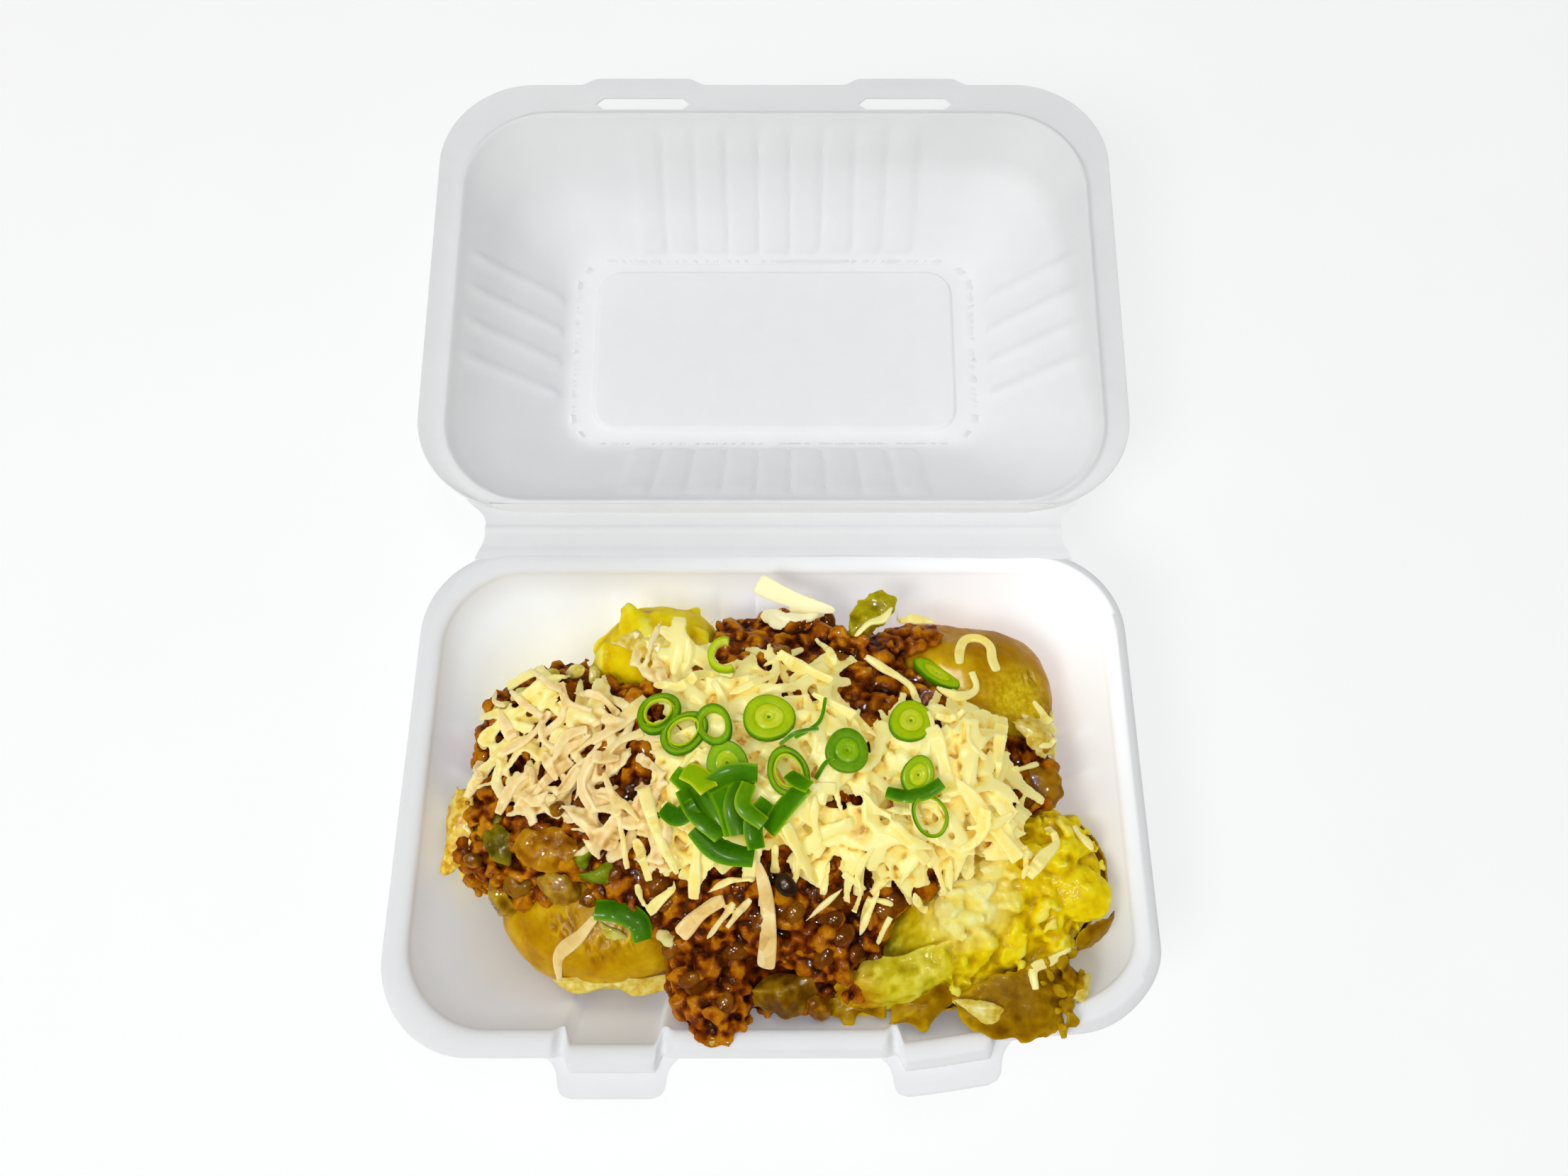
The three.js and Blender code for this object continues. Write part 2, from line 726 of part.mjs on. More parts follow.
// Lumps all over the chilli that shows, each clear of the pieces it lies next to.
function makeLumps(others, inside) {
  const draw = draws(11);
  const lumps = [];
  const scatter = (rule, make) => {
    let kept = 0;
    for (let i = 0; i < rule.tries && kept < rule.keep; i++) {
      const angle = 2 * Math.PI * draw();
      const near = cheeseReach(angle) + 3;
      const far = mix(near, chilliReach(angle) - 2, Math.sqrt(draw()));
      const lump = make(far * Math.cos(angle), far * Math.sin(angle));
      if (far < near || touches(lump, others) || lump.subtract(inside).volume() > 0.01) continue;
      lumps.push(lump);
      kept++;
    }
  };
  scatter(bean, (x, y) =>
    makeLump(new THREE.SphereGeometry(1, 6, 4), x, y, 3 * draw(), bean.size, 0.35),
  );
  scatter(crumb, (x, y) => {
    const size = mix(crumb.smallest, crumb.largest, draw());
    const uneven = [size, size * mix(0.7, 1, draw()), size * 0.8];
    return makeLump(new THREE.IcosahedronGeometry(1, 0), x, y, 6 * draw(), uneven, 0.2);
  });
  return lumps;
}

// A shred of cheese: a flat strip bent sideways that follows the ground under it.
function makeShred(from, to, bend, ground, lift, width = shred.width, thick = shred.thick) {
  const steps = 3;
  const across = new THREE.Vector2(to[1] - from[1], from[0] - to[0]).normalize();
  const rings = [];
  for (let i = 0; i <= steps; i++) {
    const part = i / steps;
    const bow = bend * 4 * part * (1 - part);
    const x = mix(from[0], to[0], part) + across.x * bow;
    const y = mix(from[1], to[1], part) + across.y * bow;
    const z = ground(x, y) + lift;
    const half = (width / 2) * (i % steps ? 1 : 0.7);
    const side = [across.x * half, across.y * half];
    rings.push([
      [x - side[0], y - side[1], z - thick / 2],
      [x + side[0], y + side[1], z - thick / 2],
      [x + side[0], y + side[1], z + thick / 2],
      [x - side[0], y - side[1], z + thick / 2],
    ]);
  }
  return loft(rings, true);
}

// Shreds fused on the cheese, left out where they would cross something else.
function makeShreds(others) {
  const draw = draws(5);
  const shreds = [];
  for (let i = 0; i < shred.tries && shreds.length < shred.keep; i++) {
    const angle = 2 * Math.PI * draw();
    const far = cheeseReach(angle) * Math.sqrt(draw());
    const turn = 2 * Math.PI * draw();
    const half = mix(shred.shortest, shred.longest, draw()) / 2;
    const middle = [far * Math.cos(angle), far * Math.sin(angle)];
    const step = [half * Math.cos(turn), half * Math.sin(turn)];
    const from = [middle[0] - step[0], middle[1] - step[1]];
    const to = [middle[0] + step[0], middle[1] + step[1]];
    const made = makeShred(from, to, 5 * draw() - 2.5, cheeseTop, 0.9 * draw() + 0.1);
    if (!touches(made, others)) shreds.push(made);
  }
  return shreds;
}

// ---------------------------------------------------------------- toppings

// How far a piece has to rise, in small steps, to lie clear of what is under it.
function liftOver(solid, below) {
  let lift = 0;
  while (touches(solid.translate(0, 0, lift), below)) lift += 0.25;
  return lift;
}

// Lifts a topping until it and the space just under it are clear.
function settle(solid, below) {
  const lift = liftOver(solid.translate(0, 0, -gap), below);
  return solid.translate(0, 0, liftOver(solid.translate(0, 0, lift), below) + lift);
}

// Lays a geometry made round the origin on the heap, tilted as the heap is there.
function layOn(geometry, [x, y], turn = 0) {
  const span = 4;
  const slope = new THREE.Vector3(
    cheeseTop(x - span, y) - cheeseTop(x + span, y),
    cheeseTop(x, y - span) - cheeseTop(x, y + span),
    2 * span,
  ).normalize();
  const tilt = new THREE.Quaternion().setFromUnitVectors(new THREE.Vector3(0, 0, 1), slope);
  geometry.rotateZ(turn).applyQuaternion(tilt);
  return solidOf(geometry.translate(x, y, cheeseTop(x, y)));
}

function makeOnionRing({ at, radius, half = false }) {
  const shape = new THREE.Shape();
  const inner = radius - onion.wall;
  if (half) {
    shape.absarc(0, 0, radius, 0, Math.PI, false);
    shape.absarc(0, 0, inner, Math.PI, 0, true);
  } else {
    shape.absarc(0, 0, radius, 0, 2 * Math.PI, false);
    shape.holes.push(new THREE.Path().absarc(0, 0, inner, 0, 2 * Math.PI, true));
  }
  const options = { depth: onion.thick, bevelEnabled: false, curveSegments: onion.sides / 2 };
  return layOn(new THREE.ExtrudeGeometry(shape, options), at, radians(70));
}

// A slice of the solid stem, with its layers sunk a little round a raised middle.
function makeOnionDisc({ at, radius, stretch = 1, turn = 0 }) {
  const profile = [
    [0, 0],
    [radius * 0.93, 0],
    [radius, onion.thick / 2],
    [radius * 0.93, onion.thick],
    [radius * 0.6, onion.thick * 0.8],
    [0, onion.thick * 0.95],
  ].map(([r, z]) => new THREE.Vector2(r, z));
  const geometry = new THREE.LatheGeometry(profile, onion.sides).rotateX(Math.PI / 2);
  return layOn(geometry.scale(stretch, 1, 1), at, radians(turn));
}

// A piece of the green leaf: a thin strip, arched across and bowed along its length.
function leafRings(length, width, thick, bow) {
  const steps = 2;
  const rings = [];
  for (let i = 0; i <= steps; i++) {
    const part = i / steps;
    const x = length * (part - 0.5);
    const z = bow * 4 * part * (1 - part);
    const half = (width / 2) * (i % steps ? 1 : 0.6);
    const low = [-half, 0, half].map((y, k) => [x, y, z + (k === 1 ? 0.25 * width : 0)]);
    rings.push([...low, ...[...low].reverse().map(([px, py, pz]) => [px, py, pz + thick])]);
  }
  return rings;
}

function placedLeaf(at, height, turn, tip, length, bow) {
  const move = new THREE.Matrix4().compose(
    new THREE.Vector3(at[0], at[1], height),
    new THREE.Quaternion().setFromEuler(new THREE.Euler(0, tip, turn, "ZYX")),
    new THREE.Vector3(1, 1, 1),
  );
  const rings = leafRings(length, greens.width, greens.thick, bow);
  const moved = rings.map((ring) => ring.map((p) => new THREE.Vector3(...p).applyMatrix4(move).toArray()));
  return loft(moved, true);
}

// A small loose pile of green leaves round a low mound.
function makeGreens() {
  const draw = draws(23);
  const [x, y] = greens.at;
  const mound = new THREE.SphereGeometry(1, 8, 4).rotateX(Math.PI / 2).scale(...greens.mound);
  const pieces = [layOn(mound.translate(0, 0, greens.mound[2]), greens.at)];
  for (let i = 0; i < greens.leaves; i++) {
    const angle = (2 * Math.PI * i) / greens.leaves;
    const part = mix(0.55, 0.95, draw());
    const at = [x + part * greens.reach[0] * Math.cos(angle), y + part * greens.reach[1] * Math.sin(angle)];
    const height = cheeseTop(...at) + 2.2 + 1.2 * draw();
    const length = greens.length * mix(0.75, 1, draw());
    pieces.push(placedLeaf(at, height, angle + mix(0.2, 1.2, draw()), 0.2 * draw(), length, 1.5));
  }
  return largest(join(pieces));
}

// A chunk of vegetable, sunk a little way into the chilli round it.
function chunkBlob({ at, size, turn }, grow = 0) {
  const geometry = new THREE.IcosahedronGeometry(1, 0);
  geometry.scale(size[0] + grow, size[1] + grow, size[2] + grow).rotateZ(radians(turn));
  return solidOf(geometry.translate(at[0], at[1], chilliTop(...at) + size[2] * 0.15));
}

// ---------------------------------------------------------------- the whole meal

const room = makeRoom();
const baseGroup = new THREE.Group();
const lidGroup = new THREE.Group();
lidGroup.position.set(0, creaseY, creaseZ);
lidGroup.rotation.x = radians(hinge.leanBack);

baseGroup.add(meshOf("box_base", makeTray(), pulpWhite));
lidGroup.add(meshOf("box_lid", makeLid(), pulpWhite));

const potatoSolids = [];
potatoes.forEach((spec, i) => {
  let solid = potatoBlob(spec).intersect(room);
  for (const earlier of potatoes.slice(0, i)) solid = solid.subtract(potatoBlob(earlier, gap));
  potatoSolids.push(largest(solid));
  baseGroup.add(meshOf(spec.name, potatoSolids[i], spec.skin ? potatoSkin : potatoFlesh));
});
const potatoRoom = join(potatoes.map((spec) => potatoBlob(spec, gap)));

const chunkLifts = chunks.map((spec) => liftOver(chunkBlob(spec, gap), potatoSolids));
const chunkSolids = chunks.map((spec, i) => chunkBlob(spec).translate(0, 0, chunkLifts[i]));
const firmFood = [...potatoSolids, ...chunkSolids];
const chunkRoom = join(chunks.map((spec, i) => chunkBlob(spec, gap).translate(0, 0, chunkLifts[i])));
chunks.forEach((spec, i) => {
  baseGroup.add(meshOf(spec.name, chunkSolids[i], spec.name.startsWith("tomato") ? tomatoRed : pepperGreen));
});

const bareCheese = makeCheeseCore().subtract(potatoRoom).subtract(chunkRoom);
const cheeseCore = largest(bareCheese.intersect(room));
const lumps = makeLumps([potatoRoom, chunkRoom, cheeseCore], room);
const chilliCore = largest(makeChilliCore().intersect(room).subtract(potatoRoom).subtract(chunkRoom));
const chilli = largest(join([chilliCore, ...lumps]));
baseGroup.add(meshOf("chilli", chilli, chilliSauce));

const ground = [chilli, cheeseCore, ...firmFood];
const toppings = [];
function addTopping(name, solid, surface) {
  const settled = settle(solid, [...ground, ...toppings]);
  toppings.push(settled);
  baseGroup.add(meshOf(name, settled, surface));
}

addTopping("onion_greens", makeGreens(), onionGreen);
onionDiscs.forEach((spec, i) => addTopping(`onion_disc_${i + 1}`, makeOnionDisc(spec), onionPale));
onionRings.forEach((spec, i) => addTopping(`onion_ring_${i + 1}`, makeOnionRing(spec), onionGreen));
for (const { name, at, turn, length } of leaves) {
  addTopping(name, placedLeaf(at, cheeseTop(...at), radians(turn), 0, length, 1), onionGreen);
}
for (const { name, from, to, bend } of strands) {
  addTopping(name, makeShred(from, to, bend, chilliTop, 1, 3, 1.6), paleCheese);
}

const shreds = makeShreds([chilli, ...firmFood, ...toppings]);
baseGroup.add(meshOf("cheese", largest(join([cheeseCore, ...shreds])), paleCheese));

const meal = new THREE.Group();
meal.add(baseGroup, lidGroup);
export default meal;
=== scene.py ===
import math
import random

import bpy
import numpy as np
from mathutils import Matrix, Vector, noise
from mathutils.bvhtree import BVHTree


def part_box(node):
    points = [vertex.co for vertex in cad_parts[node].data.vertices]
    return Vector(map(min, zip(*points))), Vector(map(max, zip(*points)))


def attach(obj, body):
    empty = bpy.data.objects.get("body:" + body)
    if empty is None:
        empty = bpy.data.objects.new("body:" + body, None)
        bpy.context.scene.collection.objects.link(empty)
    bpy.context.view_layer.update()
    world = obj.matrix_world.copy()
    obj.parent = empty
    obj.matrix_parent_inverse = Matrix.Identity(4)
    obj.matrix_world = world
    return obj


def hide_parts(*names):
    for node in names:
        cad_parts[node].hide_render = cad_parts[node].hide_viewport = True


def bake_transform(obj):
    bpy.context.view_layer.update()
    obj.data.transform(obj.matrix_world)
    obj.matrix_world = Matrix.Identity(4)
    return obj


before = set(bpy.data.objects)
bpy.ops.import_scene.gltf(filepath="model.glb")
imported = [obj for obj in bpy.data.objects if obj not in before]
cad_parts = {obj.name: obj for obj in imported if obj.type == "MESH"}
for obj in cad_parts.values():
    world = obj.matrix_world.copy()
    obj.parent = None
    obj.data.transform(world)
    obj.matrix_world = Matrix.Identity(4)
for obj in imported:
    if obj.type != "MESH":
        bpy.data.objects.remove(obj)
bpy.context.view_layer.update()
mm = 0.001
weld = 0.02 * mm  # points closer than this become one
skyHigh = 0.2  # metres, well above the food, where rays that look down start
fullTurn = 6.283
down = Vector((0, 0, -1))
print("frame loaded")


# tools for modelling


def deselectAll():
    if bpy.context.object and bpy.context.object.mode != "OBJECT":
        bpy.ops.object.mode_set(mode="OBJECT")
    bpy.ops.object.select_all(action="DESELECT")


def pick(*things):
    deselectAll()
    for thing in things:
        thing.select_set(True)
    bpy.context.view_layer.objects.active = things[-1]


def readPoints(thing):
    flat = np.empty(len(thing.data.vertices) * 3, np.float32)
    thing.data.vertices.foreach_get("co", flat)
    return flat.reshape(-1, 3).astype(float)


def readNormals(thing):
    flat = np.empty(len(thing.data.vertices) * 3, np.float32)
    thing.data.vertices.foreach_get("normal", flat)
    return flat.reshape(-1, 3).astype(float)


def writePoints(thing, spots):
    thing.data.vertices.foreach_set("co", np.asarray(spots, np.float32).ravel())
    thing.data.update()


def applied(thing, kind, **settings):
    pick(thing)
    modifier = thing.modifiers.new(kind.lower(), kind)
    for name, value in settings.items():
        setattr(modifier, name, value)
    bpy.ops.object.modifier_apply(modifier=modifier.name)
    return thing


def inEditMode(thing, *steps):
    # each step is an operator and its settings, used on the whole mesh
    pick(thing)
    bpy.ops.object.mode_set(mode="EDIT")
    bpy.ops.mesh.select_all(action="SELECT")
    for operator, settings in steps:
        operator(**settings)
    bpy.ops.object.mode_set(mode="OBJECT")
    return thing


def joined(name, things):
    pick(*things)
    if len(things) > 1:
        bpy.ops.object.join()
    whole = bpy.context.view_layer.objects.active
    whole.name = whole.data.name = name
    return whole


def smoothShaded(thing, angle=None):
    pick(thing)
    if angle is None:
        bpy.ops.object.shade_smooth()
    else:
        bpy.ops.object.shade_smooth_by_angle(angle=math.radians(angle))
    return thing


def copyOfNode(name, node):
    # the CAD solid's own surface, with its loose triangles merged
    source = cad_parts[node]
    made = linked(name, source.data.copy())
    made.data.materials.clear()
    return inEditMode(made, (bpy.ops.mesh.remove_doubles, {"threshold": weld}))


def treeOf(things):
    # one ray tree over several meshes
    corners, faces = [], []
    for thing in things:
        start = len(corners)
        corners += [tuple(p) for p in readPoints(thing)]
        faces += [[start + i for i in face.vertices] for face in thing.data.polygons]
    return BVHTree.FromPolygons(corners, faces)


def topOf(tree, x, y, fallback=0.0):
    # height and slope of the highest surface over a place
    spot, normal, _, _ = tree.ray_cast(Vector((x, y, skyHigh)), down)
    if spot is None:
        return fallback, Vector((0, 0, 1))
    return spot.z, normal


def smoothStep(value, low, high):
    part = np.clip((np.asarray(value, float) - low) / (high - low), 0, 1)
    return part * part * (3 - 2 * part)


def wavy(spots, scale, octaves=3, seed=0.0):
    # uneven values from -1 to 1 over an array of places
    shift = Vector((seed, 2 * seed, -seed))
    values = [noise.fractal(Vector(p) * scale + shift, 0.9, 2.0, octaves) for p in spots]
    return np.clip(np.array(values), -1, 1)


def keptOn(thing, name, values):
    # one number for each point, under a name that a material can read
    slot = thing.data.attributes.new(name, "FLOAT", "POINT")
    slot.data.foreach_set("value", np.asarray(values, np.float32))


def pushedOut(thing, amount):
    # moves each point along its normal by an amount in mm
    writePoints(thing, readPoints(thing) + readNormals(thing) * np.asarray(amount)[:, None] * mm)


def linked(name, mesh):
    made = bpy.data.objects.new(name, mesh)
    bpy.context.scene.collection.objects.link(made)
    return made


def gridPiece(name, columns, rows, place):
    # a grid laid out by a rule that gives places in mm from two parts, 0 to 1
    bpy.ops.mesh.primitive_grid_add(x_subdivisions=columns, y_subdivisions=rows, size=2)
    made = bpy.context.object
    made.name = made.data.name = name
    start = readPoints(made)
    writePoints(made, place((start[:, 0] + 1) / 2, (start[:, 1] + 1) / 2) * mm)
    return made


# tools for materials


class Wire:
    def __init__(self, paint, socket):
        self.paint, self.socket = paint, socket

    def maths(self, operation, other, flip=False):
        pair = (other, self) if flip else (self, other)
        return self.paint.add("Math", {"operation": operation}, {0: pair[0], 1: pair[1]})

    def __add__(self, other): return self.maths("ADD", other)
    def __radd__(self, other): return self.maths("ADD", other, True)
    def __sub__(self, other): return self.maths("SUBTRACT", other)
    def __rsub__(self, other): return self.maths("SUBTRACT", other, True)
    def __mul__(self, other): return self.maths("MULTIPLY", other)
    def __rmul__(self, other): return self.maths("MULTIPLY", other, True)


class Paint:
    def __init__(self, name, **shader):
        self.material = bpy.data.materials.new(name)
        self.material.use_nodes = True
        self.tree = self.material.node_tree
        self.shader = self.tree.nodes["Principled BSDF"]
        self.spot = self.add("TexCoord", {}, {}, "Object")
        self.set(**shader)

    def add(self, kind, settings, sockets, out=0):
        made = self.tree.nodes.new("ShaderNode" + kind)
        for name, value in settings.items():
            if name == "stops":
                ramp = made.color_ramp.elements
                while len(ramp) < len(value):
                    ramp.new(0.5)
                for stop, (place, colour) in zip(ramp, value):
                    stop.position = place
                    stop.color = (*colour, 1)
            else:
                setattr(made, name, value)
        for name, value in sockets.items():
            self.feed(made.inputs[name], value)
        return Wire(self, made.outputs[out])

    def feed(self, socket, value):
        if isinstance(value, Wire):
            self.tree.links.new(value.socket, socket)
        elif hasattr(value, "__len__") and len(value) == 3 and socket.type == "RGBA":
            socket.default_value = (*value, 1)
        else:
            socket.default_value = value

    def set(self, **shader):
        for name, value in shader.items():
            self.feed(self.shader.inputs[name.replace("_", " ")], value)
        return self

    def grain(self, size, detail=3.0, rough=0.55, offset=None):
        # soft uneven values, with spots about this many mm across
        place = self.spot
        if offset is not None:
            place = self.add("VectorMath", {"operation": "ADD"}, {0: self.spot, 1: offset})
        sockets = {"Vector": place, "Scale": 1000 / size, "Detail": detail, "Roughness": rough}
        return self.add("TexNoise", {}, sockets)

    def cells(self, size, feature="F1", out="Distance"):
        return self.add("TexVoronoi", {"feature": feature}, {"Vector": self.spot, "Scale": 1000 / size}, out)

    def ramp(self, value, *stops):
        return self.add("ValToRGB", {"stops": stops}, {"Fac": value})

    def level(self, value, low, high, start=0.0, end=1.0):
        names = {"Value": value, "From Min": low, "From Max": high, "To Min": start, "To Max": end}
        return self.add("MapRange", {"clamp": True}, names)

    def blend(self, part, a, b, way="MIX"):
        return self.add("Mix", {"data_type": "RGBA", "blend_type": way}, {0: part, 6: a, 7: b}, 2)

    def farFrom(self, place, low, high):
        # 0 close to a place in mm, 1 beyond
        gap = self.add("VectorMath", {"operation": "DISTANCE"}, {0: self.spot, 1: [v * mm for v in place]},
                       "Value")
        return self.level(gap, low * mm, high * mm)

    def own(self, name):
        return self.add("Attribute", {"attribute_name": name}, {}, "Fac")

    def raised(self, height, depth, strength=1.0, under=None):
        sockets = {"Height": height, "Distance": depth * mm, "Strength": strength}
        if under is not None:
            sockets["Normal"] = under
        return self.add("Bump", {}, sockets, "Normal")


def dressed(thing, paint):
    thing.data.materials.clear()
    thing.data.materials.append(paint.material)
    return thing


# camera, floor and light

viewSettings = {"place": (3.7, -79.2, 414.0), "tilt": 21.6, "lens": 27.0}
bpy.ops.object.camera_add(
    location=Vector(viewSettings["place"]) * mm,
    rotation=(math.radians(viewSettings["tilt"]), 0, 0),
)
camera = bpy.context.object
camera.data.lens = viewSettings["lens"]
camera.data.sensor_width = 36
camera.data.clip_start = 0.01
bpy.context.scene.camera = camera

studio = {
    "floorSize": 6.0,
    "floorColour": (0.42, 0.42, 0.42), "floorGlow": 0.60,
    "gloss": 0.12,  # how much of the sky shines back from wet surfaces
    "sky": 0.52,
    "skyColour": (0.97, 0.985, 1.0),
}
bpy.ops.mesh.primitive_plane_add(size=studio["floorSize"], location=(0, 0, -0.0002))
floor = bpy.context.object
floor.name = "floor"
floorPaint = Paint("white_table", Roughness=0.9, Specular_IOR_Level=0.0,
                   Emission_Strength=studio["floorGlow"])
floorPaint.set(
    Base_Color=floorPaint.ramp(floorPaint.grain(90), (0.2, studio["floorColour"]), (0.8, (0.44, 0.44, 0.44))),
    Emission_Color=(1.0, 1.0, 1.0),
)
dressed(floor, floorPaint)

world = bpy.data.worlds.new("studio_sky")
bpy.context.scene.world = world
world.use_nodes = True
sky = world.node_tree.nodes["Background"]
sky.inputs["Color"].default_value = (*studio["skyColour"], 1)
ray = world.node_tree.nodes.new("ShaderNodeLightPath")
dim = world.node_tree.nodes.new("ShaderNodeMapRange")
dim.inputs["To Min"].default_value = studio["sky"]
dim.inputs["To Max"].default_value = studio["sky"] * studio["gloss"]
world.node_tree.links.new(ray.outputs["Is Glossy Ray"], dim.inputs["Value"])
world.node_tree.links.new(dim.outputs["Result"], sky.inputs["Strength"])

lamps = {  # place, height of what it aims at, size, watts
    "key_lamp": ((-0.60, -0.62, 1.05), 0.03, 0.5, 6.3),
    "top_lamp": ((0.06, 0.12, 1.15), 0.05, 0.3, 0.9),
}
glintSpots = {"back": (-0.05, 0.30, 1.10), "right": (0.28, 0.10, 1.15), "left": (-0.45, 0.05, 1.00),
              "near": (-0.10, -0.35, 1.15)}
for side, place in glintSpots.items():
    lamps["glint_lamp_" + side] = (place, 0.05, 0.035, 12.0)
for name, (place, aimHeight, size, watts) in lamps.items():
    bpy.ops.object.light_add(type="AREA", location=place)
    lamp = bpy.context.object
    lamp.name = name
    lamp.rotation_euler = (Vector((0, 0, aimHeight)) - Vector(place)).to_track_quat("-Z", "Y").to_euler()
    lamp.data.size = size
    lamp.data.energy = watts
    lamp.visible_diffuse = "glint" not in name  # glints only show in wet surfaces
bpy.context.scene.view_settings.view_transform = "Standard"
print("camera and light set")


# the moulded pulp box


def outlinePoints(halfWidth, halfDepth, corner, share):
    # places and outward directions round a rounded rectangle, from the front middle on
    knots, ways = [(0.0, -halfDepth)], [(0.0, -1.0)]
    for signX, signY, start in ((1, -1, -90), (1, 1, 0), (-1, 1, 90), (-1, -1, 180)):
        for i in range(25):
            angle = math.radians(start + 90 * i / 24)
            way = (math.cos(angle), math.sin(angle))
            middle = (signX * (halfWidth - corner), signY * (halfDepth - corner))
            knots.append((middle[0] + corner * way[0], middle[1] + corner * way[1]))
            ways.append(way)
    knots.append(knots[0])
    ways.append(ways[0])
    knots, ways = np.array(knots), np.array(ways)
    steps = np.concatenate([[0], np.cumsum(np.hypot(*np.diff(knots, axis=0).T))])
    along = share * steps[-1]
    spots = np.stack([np.interp(along, steps, knots[:, k]) for k in (0, 1)], 1)
    out = np.stack([np.interp(along, steps, ways[:, k]) for k in (0, 1)], 1)
    return spots, out / np.linalg.norm(out, axis=1)[:, None]


def arcBetween(a, turn, b, count):
    # a soft bend from a to b, pulled towards the turning point
    parts = np.linspace(0, 1, count)
    a, turn, b = np.array(a, float), np.array(turn, float), np.array(b, float)
    return [tuple((1 - t) ** 2 * a + 2 * t * (1 - t) * turn + t * t * b) for t in parts]


def pillows(x, count, pitch, middle=0.0):
    # rounded flutes side by side with narrow valleys, 0 outside their row
    place = (np.asarray(x, float) - middle) / pitch + count / 2
    inside = (place > 0) & (place < count)
    across = 2 * (place % 1) - 1
    return np.where(inside, 1 - np.abs(across) ** 4, 0), np.where(inside, across, 0)


def ridges(y, count, pitch, middle=0.0):
    # narrow ribs with wide flats between them
    place = (np.asarray(y, float) - middle) / pitch + count / 2
    inside = (place > 0) & (place < count)
    across = 2 * (place % 1) - 1
    return np.where(inside, np.cos(across * math.pi / 2) ** 6, 0)


trayShape = {
    "width": 235, "depth": 161, "height": 46, "corner": 29, "bead": 8, "beadDrop": 2.5,
    "floorWidth": 165, "floorDepth": 95, "floorCorner": 14, "wallTurn": 3,
    "thick": 0.9, "columns": 720, "ribHeight": 1.5,
    "backPitch": 12.4, "backCount": 9, "sidePitch": 13.6, "sideCount": 4,
    "tabMiddles": (-46.5, 51.5), "tabHalf": 13.5, "tabJog": 4.0, "groove": 1.6,
    "flapReach": 11.0, "flapRoot": 19.6, "flapSide": 15.6,
    "dentPush": 7.0,
}


def dented(spots):
    # the food has pushed the front right of the rim inwards
    x, y, z = spots.T
    along = smoothStep(x, 28, 92) * smoothStep(-y, 35, 75)
    moved = spots.copy()
    moved[:, 1] += trayShape["dentPush"] * along * z / trayShape["height"]
    return moved


def trayLevels():
    s = trayShape
    floor = np.array([s["floorWidth"] / 2, s["floorDepth"] / 2, s["floorCorner"]])
    top = np.array([s["width"] / 2 - s["bead"], s["depth"] / 2 - s["bead"], s["corner"] - s["wallTurn"]])
    wallTop = s["height"] - s["beadDrop"]
    levels = []  # half width, half depth, corner, height, part of the wall, part of the bead
    for part in (0, 0.15, 0.35, 0.55, 0.75, 0.88):
        levels.append((*(floor * part), 1.0, 0, 0))
    for part, height in arcBetween((-0.14, 1.0), (0.0, 1.0), (0.1, 1 + 0.1 * (wallTop - 1)), 6):
        levels.append((*(floor + (top - floor) * part), height, max(part, 0), 0))
    for part in np.linspace(0.14, 0.985, 20):
        levels.append((*(floor + (top - floor) * part), 1 + part * (wallTop - 1), part, 0))
    for turn in np.linspace(180, 0, 13):
        inset = s["bead"] / 2 * (1 - math.cos(math.radians(turn)))
        rise = s["beadDrop"] * math.sin(math.radians(turn)) ** 0.8
        corner = s["corner"] - s["wallTurn"] * inset / s["bead"]
        levels.append((s["width"] / 2 - inset, s["depth"] / 2 - inset, corner, wallTop + rise, 1, 1))
    levels.append((s["width"] / 2, s["depth"] / 2, s["corner"], wallTop - 0.7, 1, 0.5))
    return levels


def trayPlace(u, v):
    s = trayShape
    levels = trayLevels()
    row = np.rint(v * (len(levels) - 1)).astype(int)
    spots = np.zeros((len(u), 3))
    for i, (halfWidth, halfDepth, corner, height, wall, bead) in enumerate(levels):
        here = row == i
        if halfWidth < 0.01:
            spots[here] = (0, 0, height)
            continue
        flat, out = outlinePoints(halfWidth, halfDepth, corner, 1 - u[here])
        x, y = flat.T
        rise = np.full(len(x), float(height))
        reach = np.zeros(len(x))
        fade = smoothStep(wall, 0.07, 0.2) * (1 - smoothStep(wall, 0.74, 0.9))
        back, _ = pillows(x, s["backCount"], s["backPitch"])
        side = ridges(y, s["sideCount"], s["sidePitch"])
        reach -= s["ribHeight"] * fade * back * (out[:, 1] > 0.9)
        reach -= s["ribHeight"] * fade * side * (np.abs(out[:, 0]) > 0.9)
        front = (out[:, 1] < -0.9) & (y < 0)
        for middle in s["tabMiddles"]:
            far = np.abs(x - middle)
            step = 1 - smoothStep(far, s["tabHalf"] - 1.2, s["tabHalf"] + 1.0)
            reach += s["tabJog"] * step * front * smoothStep(wall, 0.0, 0.55)
            notch = np.exp(-(((far - s["tabHalf"] - s["groove"]) / 1.7) ** 4))
            rise -= (height - (s["height"] - s["beadDrop"])) * 0.9 * notch * front * bead
            reach -= 0.9 * notch * front * bead * smoothStep(wall, 0.9, 1.0)
        spots[here] = np.stack([x + out[:, 0] * reach, y + out[:, 1] * reach, rise], 1)
    return dented(spots)


